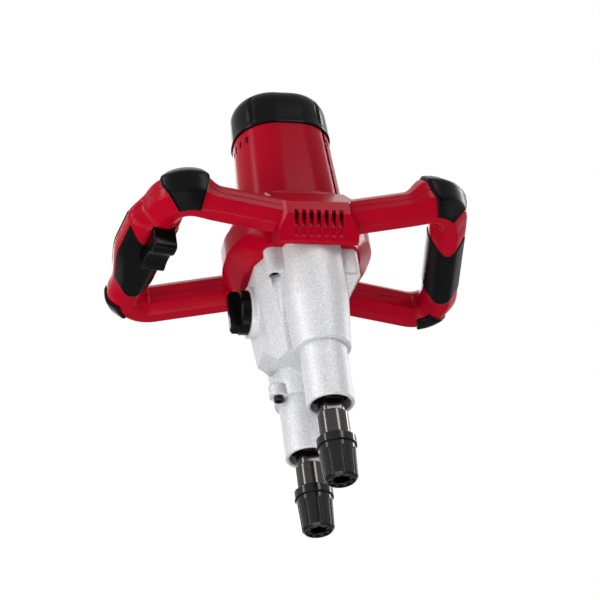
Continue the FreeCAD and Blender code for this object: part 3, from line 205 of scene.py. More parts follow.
def finish_of(
    name, edge, roughness, spread, metal, gloss, cloud_size, cloud_depth, grain_size, grain_height
):
    """Moulded or metal finish: cloudy colour, uneven gloss, fine grain and rounded edges.

    edge: radius of the rounded edges in metres; spread: how far the roughness varies; cloud_size and
    grain_size: noise per metre; cloud_depth: share by which the colour varies; grain_height: in metres.
    """
    colour = getattr(bpy.context.scene.drill_colours, name)
    material = bpy.data.materials.new(name)
    material.use_nodes = True
    tree = material.node_tree
    join = tree.links.new
    shader = tree.nodes["Principled BSDF"]
    shader.inputs["Metallic"].default_value = metal
    shader.inputs["Specular IOR Level"].default_value = gloss
    place = tree.nodes.new("ShaderNodeTexCoord")
    clouds = tree.nodes.new("ShaderNodeTexNoise")
    clouds.inputs["Scale"].default_value = cloud_size
    clouds.inputs["Detail"].default_value = cloud_detail
    clouds.inputs["Roughness"].default_value = cloud_roughness
    join(place.outputs["Object"], clouds.inputs["Vector"])
    ramp = tree.nodes.new("ShaderNodeValToRGB")
    ramp.color_ramp.elements[0].position = cloud_low
    ramp.color_ramp.elements[1].position = cloud_high
    ramp.color_ramp.elements[0].color = shaded(colour, 1.0 - cloud_depth)
    ramp.color_ramp.elements[1].color = shaded(colour, 1.0 + cloud_depth)
    join(clouds.outputs["Fac"], ramp.inputs["Fac"])
    join(ramp.outputs["Color"], shader.inputs["Base Color"])
    fine = tree.nodes.new("ShaderNodeTexNoise")
    fine.inputs["Scale"].default_value = grain_size
    fine.inputs["Detail"].default_value = grain_detail
    join(place.outputs["Object"], fine.inputs["Vector"])
    uneven = tree.nodes.new("ShaderNodeMapRange")
    uneven.inputs["From Min"].default_value = grain_low
    uneven.inputs["From Max"].default_value = grain_high
    uneven.inputs["To Min"].default_value = roughness - spread
    uneven.inputs["To Max"].default_value = roughness + spread
    join(fine.outputs["Fac"], uneven.inputs["Value"])
    join(uneven.outputs["Result"], shader.inputs["Roughness"])
    rounding = tree.nodes.new("ShaderNodeBevel")
    rounding.samples = rounding_samples
    rounding.inputs["Radius"].default_value = edge
    bump = tree.nodes.new("ShaderNodeBump")
    bump.inputs["Strength"].default_value = 1.0
    bump.inputs["Distance"].default_value = grain_height
    join(fine.outputs["Fac"], bump.inputs["Height"])
    join(rounding.outputs["Normal"], bump.inputs["Normal"])
    join(bump.outputs["Normal"], shader.inputs["Normal"])
    finishes[name] = material


class DRILL_OT_finishes(bpy.types.Operator):
    """Make the finishes and put them on the solids"""

    bl_idname = "drill.finishes"
    bl_label = "Finishes"

    def execute(self, context):
        edge = context.scene.drill_sizes.edge_softness
        finish_of(
            "shell_red",
            edge,
            roughness=0.20,
            spread=0.03,
            metal=0.0,
            gloss=0.055,
            cloud_size=60.0,
            cloud_depth=0.06,
            grain_size=1500.0,
            grain_height=0.00002,
        )
        finish_of(
            "moulded_black",
            edge,
            roughness=0.20,
            spread=0.04,
            metal=0.0,
            gloss=0.07,
            cloud_size=90.0,
            cloud_depth=0.15,
            grain_size=1700.0,
            grain_height=0.00002,
        )
        finish_of(
            "soft_black",
            edge,
            roughness=0.27,
            spread=0.05,
            metal=0.0,
            gloss=0.06,
            cloud_size=70.0,
            cloud_depth=0.18,
            grain_size=1100.0,
            grain_height=0.00005,
        )
        finish_of(
            "blasted_metal",
            context.scene.drill_sizes.casting_edge,
            roughness=0.52,
            spread=0.08,
            metal=0.25,
            gloss=0.25,
            cloud_size=560.0,
            cloud_depth=0.24,
            grain_size=900.0,
            grain_height=0.00010,
        )
        finish_of(
            "chuck_black",
            edge,
            roughness=0.15,
            spread=0.03,
            metal=0.0,
            gloss=0.22,
            cloud_size=160.0,
            cloud_depth=0.20,
            grain_size=1400.0,
            grain_height=0.00001,
        )
        finish_of(
            "spindle_chrome",
            edge,
            roughness=0.13,
            spread=0.04,
            metal=1.0,
            gloss=0.5,
            cloud_size=120.0,
            cloud_depth=0.10,
            grain_size=1600.0,
            grain_height=0.00001,
        )
        for part in frame["record"]["subparts"]:
            finish = slot_finishes.get(part["material_slot"], other_finish)
            solid = frame["nodes"][part["node"]].data
            solid.materials.clear()
            solid.materials.append(finishes[finish])
        return {"FINISHED"}


def face_outward(mesh):
    work = bmesh.new()
    work.from_mesh(mesh)
    bmesh.ops.recalc_face_normals(work, faces=work.faces)
    work.to_mesh(mesh)
    work.free()


def made(name, points, faces, finish, slot, *replaced, body="housing"):
    """Smooth piece from points in metres, riding on one body in place of its solids."""
    mesh = bpy.data.meshes.new(name)
    mesh.from_pydata(points, [], faces)
    mesh.validate()
    face_outward(mesh)
    mesh.shade_smooth()
    mesh.set_sharp_from_angle(angle=sharp_angle)
    mesh.materials.append(finishes[finish])
    piece = bpy.data.objects.new(name, mesh)
    bpy.context.scene.collection.objects.link(piece)
    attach(piece, body)
    if replaced:
        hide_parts(*replaced)
    return piece


def carved(piece, cutter_points, cutter_faces):
    """Take the cutter's space out of a closed piece."""
    mesh = bpy.data.meshes.new("cutter")
    mesh.from_pydata(cutter_points, [], cutter_faces)
    face_outward(mesh)
    cutter = bpy.data.objects.new("cutter", mesh)
    bpy.context.scene.collection.objects.link(cutter)
    cut = piece.modifiers.new("well", "BOOLEAN")
    cut.operation = "DIFFERENCE"
    cut.solver = "EXACT"
    cut.object = cutter
    graph = bpy.context.evaluated_depsgraph_get()
    result = bpy.data.meshes.new_from_object(piece.evaluated_get(graph))
    piece.modifiers.remove(cut)
    piece.data = result
    bpy.data.objects.remove(cutter)
    result.set_sharp_from_angle(angle=sharp_angle)


def grid_faces(rows, wide, first=0, round_rows=False, round_columns=True):
    """Quads between rows of points; round rows or columns close on themselves."""
    faces = []
    for i in range(rows if round_rows else rows - 1):
        here = first + i * wide
        there = first + (i + 1) % rows * wide
        for k in range(wide if round_columns else wide - 1):
            n = (k + 1) % wide
            faces.append((here + k, here + n, there + n, there + k))
    return faces


def tube_faces(rows, wide, first=0):
    """Quads round a tube of rows, and a face over each end."""
    last = first + (rows - 1) * wide
    ends = [tuple(range(first, first + wide)), tuple(range(last, last + wide))]
    return grid_faces(rows, wide, first) + ends


def eased(share):
    """Smooth step from 0 to 1."""
    share = max(0.0, min(1.0, share))
    return share * share * (3.0 - 2.0 * share)


class Section(NamedTuple):
    """Eight sided section of a handle, and how far it stands up and aside, in millimetres."""

    width: float
    height: float
    cut: float
    rounding: float
    rise: float
    aside: float


class Handle:
    """Centre line and sections of one handle, in millimetres, drawn on the right."""

    arm_root = Vector((28.0, -85.0, 288.0))
    grip_front = Vector((146.0, -95.0, 305.0))
    grip_rear = Vector((180.0, 96.0, 293.0))
    rear_root = Vector((6.0, 55.0, 300.0))
    bends = (28.0, 26.0)
    arm = Section(36.0, 34.0, 10.0, 3.2, 0.0, 0.0)
    flare = Section(40.0, 50.0, 14.0, 6.0, 7.0, 0.0)
    plain = Section(40.0, 40.0, 12.5, 12.0, 0.0, 0.0)
    back = Section(33.0, 39.0, 9.5, 3.6, 0.0, 0.0)
    grip_rounding = 14.0
    flare_run = 22.0
    flare_hold = 2.0
    bulge_begin = 42.0
    bulge_end = 80.0

    # Growth of a cut and setback of a rounding, where corners turn by 45 degrees
    cut_growth = 0.5858
    rounding_setback = 0.4142

    # Largest share of a side that a rounding takes, least radius, and points at each corner
    rounding_room = 0.46
    least_rounding = 0.4
    per_corner = 5
    groove_half = 0.45

    # Numbers of the section's points between which the soft grip leaves the outer side bare
    bare_begin = 2
    bare_end = 10

    def __init__(self, side, bulge):
        self.side = side
        stations = (self.arm_root, self.grip_front, self.grip_rear, self.rear_root)
        self.runs = []
        marks = []
        setbacks = []
        start = self.arm_root
        length = 0.0
        for before, corner, behind, radius in zip(stations, stations[1:], stations[2:], self.bends):
            ahead = (corner - before).normalized()
            beyond = (behind - corner).normalized()
            turn = ahead.angle(beyond)
            sideways = (beyond - ahead * ahead.dot(beyond)).normalized()
            setback = radius * math.tan(turn / 2)
            enter = corner - ahead * setback
            straight = (enter - start).length
            self.runs.append((length, straight, start, ahead, None, 0.0))
            length += straight
            marks.append(length)
            self.runs.append((length, radius * turn, enter, ahead, sideways, radius))
            length += radius * turn
            marks.append(length)
            start = corner + beyond * setback
            setbacks.append(setback)
        last = self.rear_root - start
        self.runs.append((length, last.length, start, last.normalized(), None, 0.0))
        self.length = length + last.length
        self.corner_in, self.corner_out, self.rear_in, self.rear_out = marks
        self.grip_begin = self.runs[2][2]
        self.grip_run = (self.grip_rear - self.grip_front).normalized()
        width = self.plain.width + bulge
        grip = self.plain._replace(width=width, rounding=self.grip_rounding, aside=bulge / 2)
        front = self.corner_out - setbacks[0]
        self.keys = [
            (0.0, self.arm),
            (self.corner_in - self.flare_run, self.arm),
            (self.corner_in + self.flare_hold, self.flare),
            (self.corner_out - self.flare_hold, self.flare),
            (front + self.bulge_begin, grip),
            (front + self.bulge_end, grip),
            (self.rear_in, self.plain),
            (self.rear_out, self.back),
            (self.length, self.back),
        ]

    def size_at(self, s):
        """Section at a distance along the centre line."""
        for (a, first), (b, second) in zip(self.keys, self.keys[1:]):
            if s <= b:
                share = eased((s - a) / (b - a))
                return Section(*(p + (q - p) * share for p, q in zip(first, second)))
        return self.back

    def place_at(self, s):
        """Point of the centre line, with the directions across and up."""
        s = max(0.0, min(self.length, s))
        for begin, span, start, ahead, sideways, radius in self.runs:
            if s <= begin + span:
                break
        if sideways is None:
            place = start + ahead * (s - begin)
            run = ahead
        else:
            angle = (s - begin) / radius
            place = start + ahead * radius * math.sin(angle) + sideways * radius * (1 - math.cos(angle))
            run = ahead * math.cos(angle) + sideways * math.sin(angle)
        across = run.cross(Vector((0.0, 0.0, 1.0))).normalized()
        return place, across, across.cross(run)

    def s_of_y(self, y):
        """Distance along the centre line at which the grip reaches a depth y."""
        return self.corner_out + (y - self.grip_begin.y) / self.grip_run.y

    def outline(self, size, grow, groove=0.0):
        """Eight sides with rounded corners; a groove marks the parting line at mid height."""
        w = size.width / 2 + grow
        h = size.height / 2 + grow
        c = size.cut + self.cut_growth * grow
        corners = [(w, -h + c), (w, h - c), (w - c, h), (-w + c, h)]
        corners += [(-x, -y) for x, y in corners]
        count = len(corners)
        points = []
        for i, corner in enumerate(corners):
            corner = Vector(corner)
            before = Vector(corners[i - 1])
            behind = Vector(corners[(i + 1) % count])
            room = self.rounding_room * min((before - corner).length, (behind - corner).length)
            back = min(room, self.rounding_setback * max(self.least_rounding, size.rounding + grow))
            first = corner + (before - corner).normalized() * back
            last = corner + (behind - corner).normalized() * back
            for step in range(self.per_corner):
                t = step / (self.per_corner - 1)
                points.append(first * (1 - t) ** 2 + corner * 2 * t * (1 - t) + last * t * t)
            if i % (count // 2) == 0:
                x = points[-1].x
                sense = math.copysign(1.0, x)
                lip = sense * self.groove_half
                points += [Vector((x, -lip)), Vector((x - sense * groove, 0.0)), Vector((x, lip))]
        return points

    def seated(self, s, size, point):
        """Place, in metres, of a point of the section."""
        place, across, up = self.place_at(s)
        spot = place + across * (point.x + size.aside) + up * (point.y + size.rise)
        return Vector((self.side * spot.x, spot.y, spot.z)) * mm

    def spot(self, s, k, grow):
        size = self.size_at(s)
        return self.seated(s, size, self.outline(size, grow)[k])

    def ring(self, s, groove):
        size = self.size_at(s)
        return [self.seated(s, size, point) for point in self.outline(size, 0.0, groove)]


def handle_shell(handle, name, *replaced):
    """Closed loop of one handle with its parting line."""
    step = 3.0
    depth = bpy.context.scene.drill_sizes.parting_depth * mm_per_metre
    stops = [i * step for i in range(math.ceil(handle.length / step))] + [handle.length]
    points = []
    for s in stops:
        points += handle.ring(s, depth)
    faces = tube_faces(len(stops), len(points) // len(stops))
    return made(name, points, faces, "shell_red", "red_plastic", *replaced)


def wrapped(count, first, stop):
    """Numbers of a section's points from first to stop, where minus ones count back from the start."""
    return [k % count for k in range(first, stop)]


def soft_sleeve(handle, name, *replaced):
    """Soft insert round the grip: a rounded V in front, a rounded end behind, the outer side left bare."""
    stand = bpy.context.scene.drill_sizes.soft_stand * mm_per_metre
    under = -1.5
    front_y = -31.0
    front_slant = 26.0
    front_bluntness = 0.02
    front_blunt_loss = 0.14
    rear_y = 50.0
    rear_slant = 20.0
    inner = 26
    middle = handle.size_at(handle.s_of_y(0.0))
    outline = handle.outline(middle, 0.0)
    picks = wrapped(len(outline), handle.bare_end - len(outline), handle.bare_begin)
    front_edge = []
    rear_edge = []
    for k in picks:
        lean = min(1.0, abs(outline[k].x) / (middle.width / 2))
        tip = math.sqrt(lean * lean + front_bluntness) - front_blunt_loss
        front_edge.append(handle.s_of_y(front_y - front_slant * tip))
        rear_edge.append(handle.s_of_y(rear_y - rear_slant * lean * lean))
    # Distance from the end and height of each row of the brim
    brim = [(0.0, under), (0.0, 0.35 * stand), (0.5, 0.8 * stand), (1.4, stand)]
    shares = [i / inner for i in range(1, inner)]
    rows = []
    for reach, grow in brim:
        rows.append([(f + reach, grow) for f in front_edge])
    for share in shares:
        rows.append([(f + (r - f) * share, stand) for f, r in zip(front_edge, rear_edge)])
    for reach, grow in reversed(brim):
        rows.append([(r - reach, grow) for r in rear_edge])
    for share in reversed(shares):
        rows.append([(f + (r - f) * share, under) for f, r in zip(front_edge, rear_edge)])
    points = []
    for row in rows:
        points += [handle.spot(s, k, grow) for k, (s, grow) in zip(picks, row)]
    wide = len(picks)
    faces = grid_faces(len(rows), wide, round_rows=True, round_columns=False)
    for k in (0, wide - 1):
        for i in range(len(rows) // 2 - 1):
            across = len(rows) - 1 - i
            faces.append((i * wide + k, (i + 1) * wide + k, (across - 1) * wide + k, across * wide + k))
    return made(name, points, faces, "soft_black", "soft_rubber", *replaced)


def pad(handle, name, picks, reach, *replaced):
    """Corner bumper over some of the section's points; reach gives its two ends at each point."""
    stand = bpy.context.scene.drill_sizes.bumper_stand * mm_per_metre
    under = -0.6
    side = 0.72 * stand
    steps = 22
    # Number of the section's point and greatest height of each column
    columns = [(picks[0], under), (picks[0], side)]
    columns += [(k, stand) for k in picks[1:-1]]
    columns += [(picks[-1], side), (picks[-1], under)]
    # Distance from the end and height of each row of the brim
    brim = [(0.0, under), (0.0, 0.55 * stand), (0.7, 0.9 * stand), (1.8, stand)]
    plan = [(0.0, inset, height) for inset, height in brim]
    plan += [(i / steps, 0.0, stand) for i in range(1, steps)]
    plan += [(1.0, -inset, height) for inset, height in reversed(brim)]
    points = []
    for share, shift, height in plan:
        for k, most in columns:
            begin, end = reach(k)
            s = begin + (end - begin) * share + shift
            points.append(handle.spot(s, k, min(height, most)))
    wide = len(columns)
    rows = len(plan)
    faces = grid_faces(rows, wide, round_columns=False)
    rim = list(range(wide))
    rim += [i * wide + wide - 1 for i in range(1, rows)]
    rim += [(rows - 1) * wide + j for j in range(wide - 2, -1, -1)]
    rim += [i * wide for i in range(rows - 2, 0, -1)]
    hub = len(points)
    points.append(sum((points[i] for i in rim), Vector((0.0, 0.0, 0.0))) / len(rim))
    for a, b in zip(rim, rim[1:] + rim[:1]):
        faces.append((b, a, hub))
    made(name, points, faces, "soft_black", "soft_rubber", *replaced)


def front_pad(handle, side):
    """Bumper over the outside and top of the front corner, longest on top."""
    first, stop = (-3, 21)
    corner_share = 0.54
    middle_shift = -3.0
    below = (-22.0, -2.0)
    longer_on_top = (-4.0, 8.0)
    slope = 1.3
    shift = 8.0 if side == "right" else 0.0
    size = handle.size_at(handle.corner_in)
    outline = handle.outline(size, 0.0)
    middle = (1.0 - corner_share) * handle.corner_in + corner_share * handle.corner_out + middle_shift

    def reach(k):
        high = eased((outline[k].y / (size.height / 2) + 1.0) / slope)
        return [middle + low + more * high + shift for low, more in zip(below, longer_on_top)]

    picks = wrapped(len(outline), first, stop)
    pad(handle, side + "_front_pad", picks, reach, side + "_front_bumper")


def rear_pad(handle, side):
    """Bumper on the rear corner: under it on the right, outside it and further forward on the left."""
    ends = (-8.0, 14.0) if side == "right" else (-17.0, -1.0)
    first, stop = (-9, 2) if side == "right" else (-3, 13)
    middle = 0.5 * (handle.rear_in + handle.rear_out)
    picks = wrapped(len(handle.outline(handle.plain, 0.0)), first, stop)

    def reach(k):
        return [middle + end for end in ends]

    pad(handle, side + "_rear_pad", picks, reach, side + "_rear_bumper")


class TriggerPlace:
    """Directions of the trigger in the left grip, as the solids have them, in millimetres."""

    station = 0.285
    half_length = 23.0
    well_front_gap = 0.5
    well_rear_gap = 2.5
    well_floor = -1.0
    well_mouth = 60.0
    well_half_width = 12.5

    def __init__(self):
        line = Handle.grip_rear - Handle.grip_front
        start = Vector((-Handle.grip_front.x, Handle.grip_front.y, Handle.grip_front.z))
        self.run = Vector((-line.x, line.y, line.z)).normalized()
        self.at = start + self.run * self.station * line.length
        level = Vector((0.0, 0.0, 1.0)).cross(self.run).normalized()
        self.press = level.cross(self.run)
        if self.press.z > 0:
            self.press = -self.press
        self.sideways = self.run.cross(self.press)

    def spot(self, t, d, w):
        return (self.at + self.run * t + self.press * d + self.sideways * w) * mm

    def bar(self, outline, half_width):
        """Points and faces of an outline along and out of the grip, drawn out to both sides."""
        points = [self.spot(t, d, w) for w in (-half_width, half_width) for t, d in outline]
        return points, tube_faces(2, len(outline))

    def well(self):
        """Space that the trigger takes out of the handle."""
        front = -self.half_length - self.well_front_gap
        rear = self.half_length + self.well_rear_gap
        low = self.well_floor
        high = self.well_mouth
        return self.bar([(front, low), (front, high), (rear, high), (rear, low)], self.well_half_width)


class DRILL_OT_handles(bpy.types.Operator):
    """Make both handle loops with their soft grips and corner bumpers"""

    bl_idname = "drill.handles"
    bl_label = "Handles"

    def execute(self, context):
        switch_bulge = 14.0
        well = TriggerPlace().well()
        for side, handle in (("right", Handle(1.0, 0.0)), ("left", Handle(-1.0, switch_bulge))):
            upper = side + "_handle_upper"
            lower = side + "_handle_lower"
            shell = handle_shell(handle, side + "_handle_shell", upper, lower)
            sleeve = soft_sleeve(handle, side + "_grip_sleeve", side + "_soft_grip")
            if side == "left":
                carved(shell, *well)
                carved(sleeve, *well)
            front_pad(handle, side)
            rear_pad(handle, side)
        return {"FINISHED"}


class DRILL_OT_trigger(bpy.types.Operator):
    """Make the trigger with its finger channel"""

    bl_idname = "drill.trigger"
    bl_label = "Trigger"

    def execute(self, context):
        edge_width = 0.0018
        edge_segments = 3
        edge_angle = math.radians(35.0)
        paddle_half_width = 12.0
        stem_half_width = 8.5
        place = TriggerPlace()
        front = -place.half_length
        rear = place.half_length
        # Outlines along the grip and out of it
        paddle = [(front, 17.0), (front, 38.0)]
        paddle += [(front + 1.2, 40.6), (front + 4.0, 42.0), (front + 11.0, 42.0), (front + 14.5, 40.8)]
        paddle += [(front + 17.5, 37.6), (front + 21.0, 35.6), (rear - 14.0, 35.0), (rear - 9.0, 36.0)]
        paddle += [(rear - 4.0, 38.2), (rear - 1.2, 37.4), (rear, 35.0), (rear, 17.0)]
        stem = [(front + 1.0, 1.5), (front + 1.0, 17.5), (rear - 1.0, 17.5), (rear - 1.0, 10.0)]
        stem += [(front + 19.0, 8.0), (front + 13.0, 1.5)]
        points, faces = place.bar(paddle, paddle_half_width)
        stem_points, stem_faces = place.bar(stem, stem_half_width)
        faces += [tuple(len(points) + i for i in face) for face in stem_faces]
        points += stem_points
        finish = "moulded_black"
        piece = made("trigger_paddle", points, faces, finish, "black_plastic", "trigger", body="trigger")
        bevel = piece.modifiers.new("moulded_edges", "BEVEL")
        bevel.width = edge_width
        bevel.segments = edge_segments
        bevel.limit_method = "ANGLE"
        bevel.angle_limit = edge_angle
        return {"FINISHED"}


def plan_loop(width, depth, corner):
    """Rounded outline with half sizes width and depth, in millimetres."""
    per_corner = 56
    least_flat = 1.0
    bend = min(corner, width - least_flat, depth - least_flat)
    a = width - bend
    b = depth - bend
    loop = []
    for x, y, start in ((a, -b, -90.0), (a, b, 0.0), (-a, b, 90.0), (-a, -b, 180.0)):
        for i in range(per_corner + 1):
            angle = math.radians(start + 90.0 * i / per_corner)
            loop.append((x + bend * math.cos(angle), y + bend * math.sin(angle)))
    return loop


class DRILL_OT_motor_cap(bpy.types.Operator):
    """Make the domed motor cap with its front grooves and raised ring"""

    bl_idname = "drill.motor_cap"
    bl_label = "Motor Cap"

    def execute(self, context):
        groove_x = 37.0
        groove_half_width = 1.9
        groove_depth = 2.0
        groove_levels = range(5, 10)
        # Half width, half depth, corner radius and height of each level
        levels = [
            (50.0, 41.0, 40.0, 446.2),
            (53.6, 44.6, 43.0, 446.2),
            (54.5, 45.5, 43.0, 447.0),
            (54.6, 45.6, 43.0, 448.5),
            (54.4, 45.4, 43.0, 450.0),
            (54.1, 45.1, 43.0, 455.0),
            (53.8, 44.8, 43.0, 464.0),
            (53.4, 44.4, 43.0, 474.0),
            (52.9, 43.9, 42.5, 480.0),
            (51.9, 42.9, 41.8, 484.5),
            (50.2, 41.4, 40.4, 488.5),
            (48.0, 39.6, 38.6, 491.6),
            (45.4, 37.4, 36.4, 493.9),
            (42.6, 35.0, 34.0, 495.3),
            (38.0, 31.0, 30.0, 495.8),
            (30.0, 29.0, 28.0, 495.8),
        ]
        # Radius and height of each level of the raised ring and of the dish inside it
        ring = [(27.0, 495.8), (27.0, 497.0), (26.5, 497.5), (24.5, 497.5), (24.0, 497.0), (24.0, 494.6)]
        points = []
        for level, (width, depth, corner, z) in enumerate(levels):
            for x, y in plan_loop(width, depth, corner):
                inset = 0.0
                if level in groove_levels and y < 0:
                    off = abs(abs(x) - groove_x) / groove_half_width
                    inset = groove_depth * max(0.0, 1.0 - off ** 4)
                far = math.hypot(x, y)
                points.append(Vector((x - inset * x / far, y - inset * y / far, z)) * mm)
        count = len(points) // len(levels)
        angles = [math.atan2(spot.y, spot.x) for spot in points[:count]]
        for radius, z in ring:
            for angle in angles:
                points.append(Vector((radius * math.cos(angle), radius * math.sin(angle), z)) * mm)
        faces = tube_faces(len(levels) + len(ring), count)
        made("motor_cap_dome", points, faces, "moulded_black", "black_plastic", "motor_cap")
        return {"FINISHED"}


class DRILL_OT_chuck_teeth(bpy.types.Operator):
    """Make the ring of drive teeth in each chuck mouth"""

    bl_idname = "drill.chuck_teeth"
    bl_label = "Chuck Teeth"

    def execute(self, context):
        teeth = 8
        steps = 6
        tooth_share = 0.58
        crown = 0.5
        root_height = 1.45
        # Radius and height of each point round a tooth's section
        inside = [(8.7, root_height), (8.7, 0.6), (9.2, 0.1)]
        outside = [(11.6, 0.1), (12.1, 0.6), (12.1, root_height)]
        profile = inside + outside
        for side in ("front", "rear"):
            low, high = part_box(side + "_spindle")
            centre = (low + high) / 2
            points = []
            faces = []
            for tooth in range(teeth):
                faces += tube_faces(steps + 1, len(profile), len(points))
                for step in range(steps + 1):
                    bend = 0.5 - 0.5 * math.cos(math.tau * min(step, steps - step) / steps)
                    angle = math.tau / teeth * (tooth + tooth_share * step / steps)
                    for radius, z in profile:
                        lift = z if z == root_height else z + crown * (1.0 - bend)
                        x = centre.x + radius * mm * math.cos(angle)
                        y = centre.y + radius * mm * math.sin(angle)
                        points.append(Vector((x, y, lift * mm)))
            name = side + "_mouth_teeth"
            made(name, points, faces, "chuck_black", "black_steel", body=side + "_spindle")
        return {"FINISHED"}


class DRILL_OT_chuck_springs(bpy.types.Operator):
    """Wind the return spring in each chuck sleeve"""

    bl_idname = "drill.chuck_springs"
    bl_label = "Chuck Springs"

    def execute(self, context):
        turns = 5
        steps_per_turn = 32
        sides = 8
        wire = 0.00055
        steps = steps_per_turn * turns
        for side in ("front", "rear"):
            node = side + "_chuck_spring"
            low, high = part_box(node)
            centre = (low + high) / 2
            radius = (high.x - low.x) / 2 - wire
            span = high.z - low.z - 2 * wire
            points = []
            for step in range(steps + 1):
                share = step / steps
                angle = math.tau * turns * share
                height = low.z + wire + span * (share - math.sin(math.tau * share) / math.tau)
                for k in range(sides):
                    around = math.tau * k / sides
                    out = radius + wire * math.cos(around)
                    x = centre.x + out * math.cos(angle)
                    y = centre.y + out * math.sin(angle)
                    points.append(Vector((x, y, height + wire * math.sin(around))))
            faces = tube_faces(steps + 1, sides)
            name = side + "_wound_spring"
            piece = made(name, points, faces, "spindle_chrome", "steel", node, body=side + "_spindle")
            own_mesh(piece)
        return {"FINISHED"}


def lay_floor(scene):
    """Pale floor well below the drill."""
    reach = 6.0
    colour = (0.86, 0.86, 0.86, 1.0)
    roughness = 0.9
    z = scene.drill_sizes.floor_drop
    corners = [(-reach, -reach, z), (reach, -reach, z), (reach, reach, z), (-reach, reach, z)]
    mesh = bpy.data.meshes.new("floor")
    mesh.from_pydata(corners, [], [(0, 1, 2, 3)])
    floor = bpy.data.objects.new("floor", mesh)
    scene.collection.objects.link(floor)
    pale = bpy.data.materials.new("pale_floor")
    pale.use_nodes = True
    shader = pale.node_tree.nodes["Principled BSDF"]
    shader.inputs["Base Color"].default_value = colour
    shader.inputs["Roughness"].default_value = roughness
    mesh.materials.append(pale)


def light_world(scene):
    """White world that lights the drill softly, but is seen and mirrored at full strength."""
    white = (1.0, 1.0, 1.0, 1.0)
    soft_strength = 0.24
    seen_strength = 1.0
    world = bpy.data.worlds.new("studio")
    scene.world = world
    world.use_nodes = True
    tree = world.node_tree
    join = tree.links.new
    soft = tree.nodes["Background"]
    soft.inputs["Color"].default_value = white
    soft.inputs["Strength"].default_value = soft_strength
    full = tree.nodes.new("ShaderNodeBackground")
    full.inputs["Color"].default_value = white
    full.inputs["Strength"].default_value = seen_strength
    path = tree.nodes.new("ShaderNodeLightPath")
    mix = tree.nodes.new("ShaderNodeMixShader")
    mirrored = tree.nodes.new("ShaderNodeMath")
    mirrored.operation = "MAXIMUM"
    join(path.outputs["Is Camera Ray"], mirrored.inputs[0])
    join(path.outputs["Is Glossy Ray"], mirrored.inputs[1])
    seen = tree.nodes.new("ShaderNodeMath")
    seen.operation = "MAXIMUM"
    join(mirrored.outputs["Value"], seen.inputs[0])
    join(path.outputs["Is Transmission Ray"], seen.inputs[1])
    join(seen.outputs["Value"], mix.inputs["Fac"])
    join(soft.outputs["Background"], mix.inputs[1])
    join(full.outputs["Background"], mix.inputs[2])
    join(mix.outputs["Shader"], tree.nodes["World Output"].inputs["Surface"])


def hang_lamps(scene):
    """Softboxes round the drill, all aimed at the middle of it."""
    aim = Vector((0.0, 0.0, 0.28))
    # Name, place in metres, power in watts, width and height of each lamp
    lamps = (
        ("front_softbox", (0.62, -1.55, 1.15), 11.0, 0.40, 1.00),
        ("left_softbox", (-1.60, -0.46, 1.15), 12.0, 0.28, 1.20),
        ("right_softbox", (1.60, 0.46, 1.15), 15.0, 0.28, 1.20),
        ("left_fill", (-1.60, -0.60, -0.05), 15.0, 0.90, 0.90),
        ("right_fill", (1.50, -0.50, -0.30), 5.0, 0.90, 0.90),
        ("low_left_softbox", (-1.00, -1.10, -0.80), 6.0, 0.90, 0.90),
        ("under_softbox", (-0.15, -0.25, -1.20), 10.0, 0.90, 0.90),
        ("back_softbox", (0.00, 1.60, 1.20), 8.0, 1.00, 1.00),
    )
    for name, place, power, width, height in lamps:
        light = bpy.data.lights.new(name, "AREA")
        light.energy = power
        light.shape = "RECTANGLE"
        light.size = width
        light.size_y = height
        lamp = bpy.data.objects.new(name, light)
        lamp.location = place
        lamp.rotation_euler = (aim - Vector(place)).to_track_quat("-Z", "Y").to_euler()
        scene.collection.objects.link(lamp)


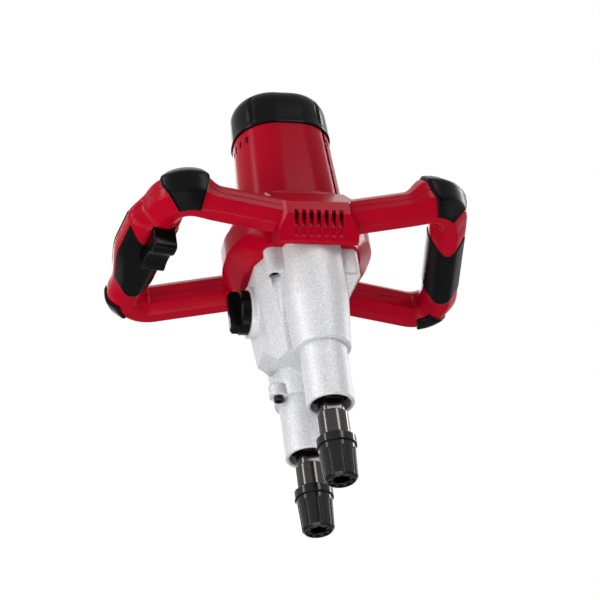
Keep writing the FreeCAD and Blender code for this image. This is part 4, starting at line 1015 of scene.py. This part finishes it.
def set_camera(scene):
    """Camera below and left of the drill's front, rolled as the photo is."""
    swing = math.radians(-16.16)
    rise = math.radians(-33.14)
    roll = math.radians(-7.8)
    aim = Vector((-0.00166, 0.0, 0.24425))
    distance = 2.12687
    sensor_width = 36.0
    nearest = 0.01
    farthest = 100.0
    back = Vector((math.sin(swing) * math.cos(rise), -math.cos(swing) * math.cos(rise), math.sin(rise)))
    right = Vector((math.cos(swing), math.sin(swing), 0.0))
    up = back.cross(right)
    across = right * math.cos(roll) + up * math.sin(roll)
    upright = up * math.cos(roll) - right * math.sin(roll)
    lens = bpy.data.cameras.new("camera")
    lens.lens = scene.drill_sizes.lens
    lens.sensor_width = sensor_width
    lens.clip_start = nearest
    lens.clip_end = farthest
    camera = bpy.data.objects.new("camera", lens)
    turn = Matrix((across, upright, back)).transposed().to_4x4()
    camera.matrix_world = Matrix.Translation(aim + back * distance) @ turn
    scene.collection.objects.link(camera)
    scene.camera = camera


class DRILL_OT_stage(bpy.types.Operator):
    """Set the floor, the soft light and the camera"""

    bl_idname = "drill.stage"
    bl_label = "Stage"

    def execute(self, context):
        scene = context.scene
        scene.view_settings.view_transform = "Standard"
        lay_floor(scene)
        light_world(scene)
        hang_lamps(scene)
        set_camera(scene)
        return {"FINISHED"}


class DRILL_PT_panel(bpy.types.Panel):
    """Lists the pieces of the mixing drill"""

    bl_idname = "DRILL_PT_panel"
    bl_label = "Mixing Drill"
    bl_space_type = "VIEW_3D"
    bl_region_type = "UI"
    bl_category = "Mixing Drill"

    def draw(self, context):
        for operator in operators:
            self.layout.operator(operator.bl_idname)


operators = (
    DRILL_OT_finishes,
    DRILL_OT_handles,
    DRILL_OT_trigger,
    DRILL_OT_motor_cap,
    DRILL_OT_chuck_teeth,
    DRILL_OT_chuck_springs,
    DRILL_OT_stage,
)
classes = (DrillColours, DrillSizes) + operators + (DRILL_PT_panel,)


def register():
    for kind in classes:
        bpy.utils.register_class(kind)
    bpy.types.Scene.drill_colours = bpy.props.PointerProperty(type=DrillColours)
    bpy.types.Scene.drill_sizes = bpy.props.PointerProperty(type=DrillSizes)


def unregister():
    del bpy.types.Scene.drill_sizes
    del bpy.types.Scene.drill_colours
    for kind in reversed(classes):
        bpy.utils.unregister_class(kind)


def main():
    register()
    bpy.ops.drill.finishes()
    bpy.ops.drill.handles()
    bpy.ops.drill.trigger()
    bpy.ops.drill.motor_cap()
    bpy.ops.drill.chuck_teeth()
    bpy.ops.drill.chuck_springs()
    bpy.ops.drill.stage()


if __name__ == "__main__":
    main()
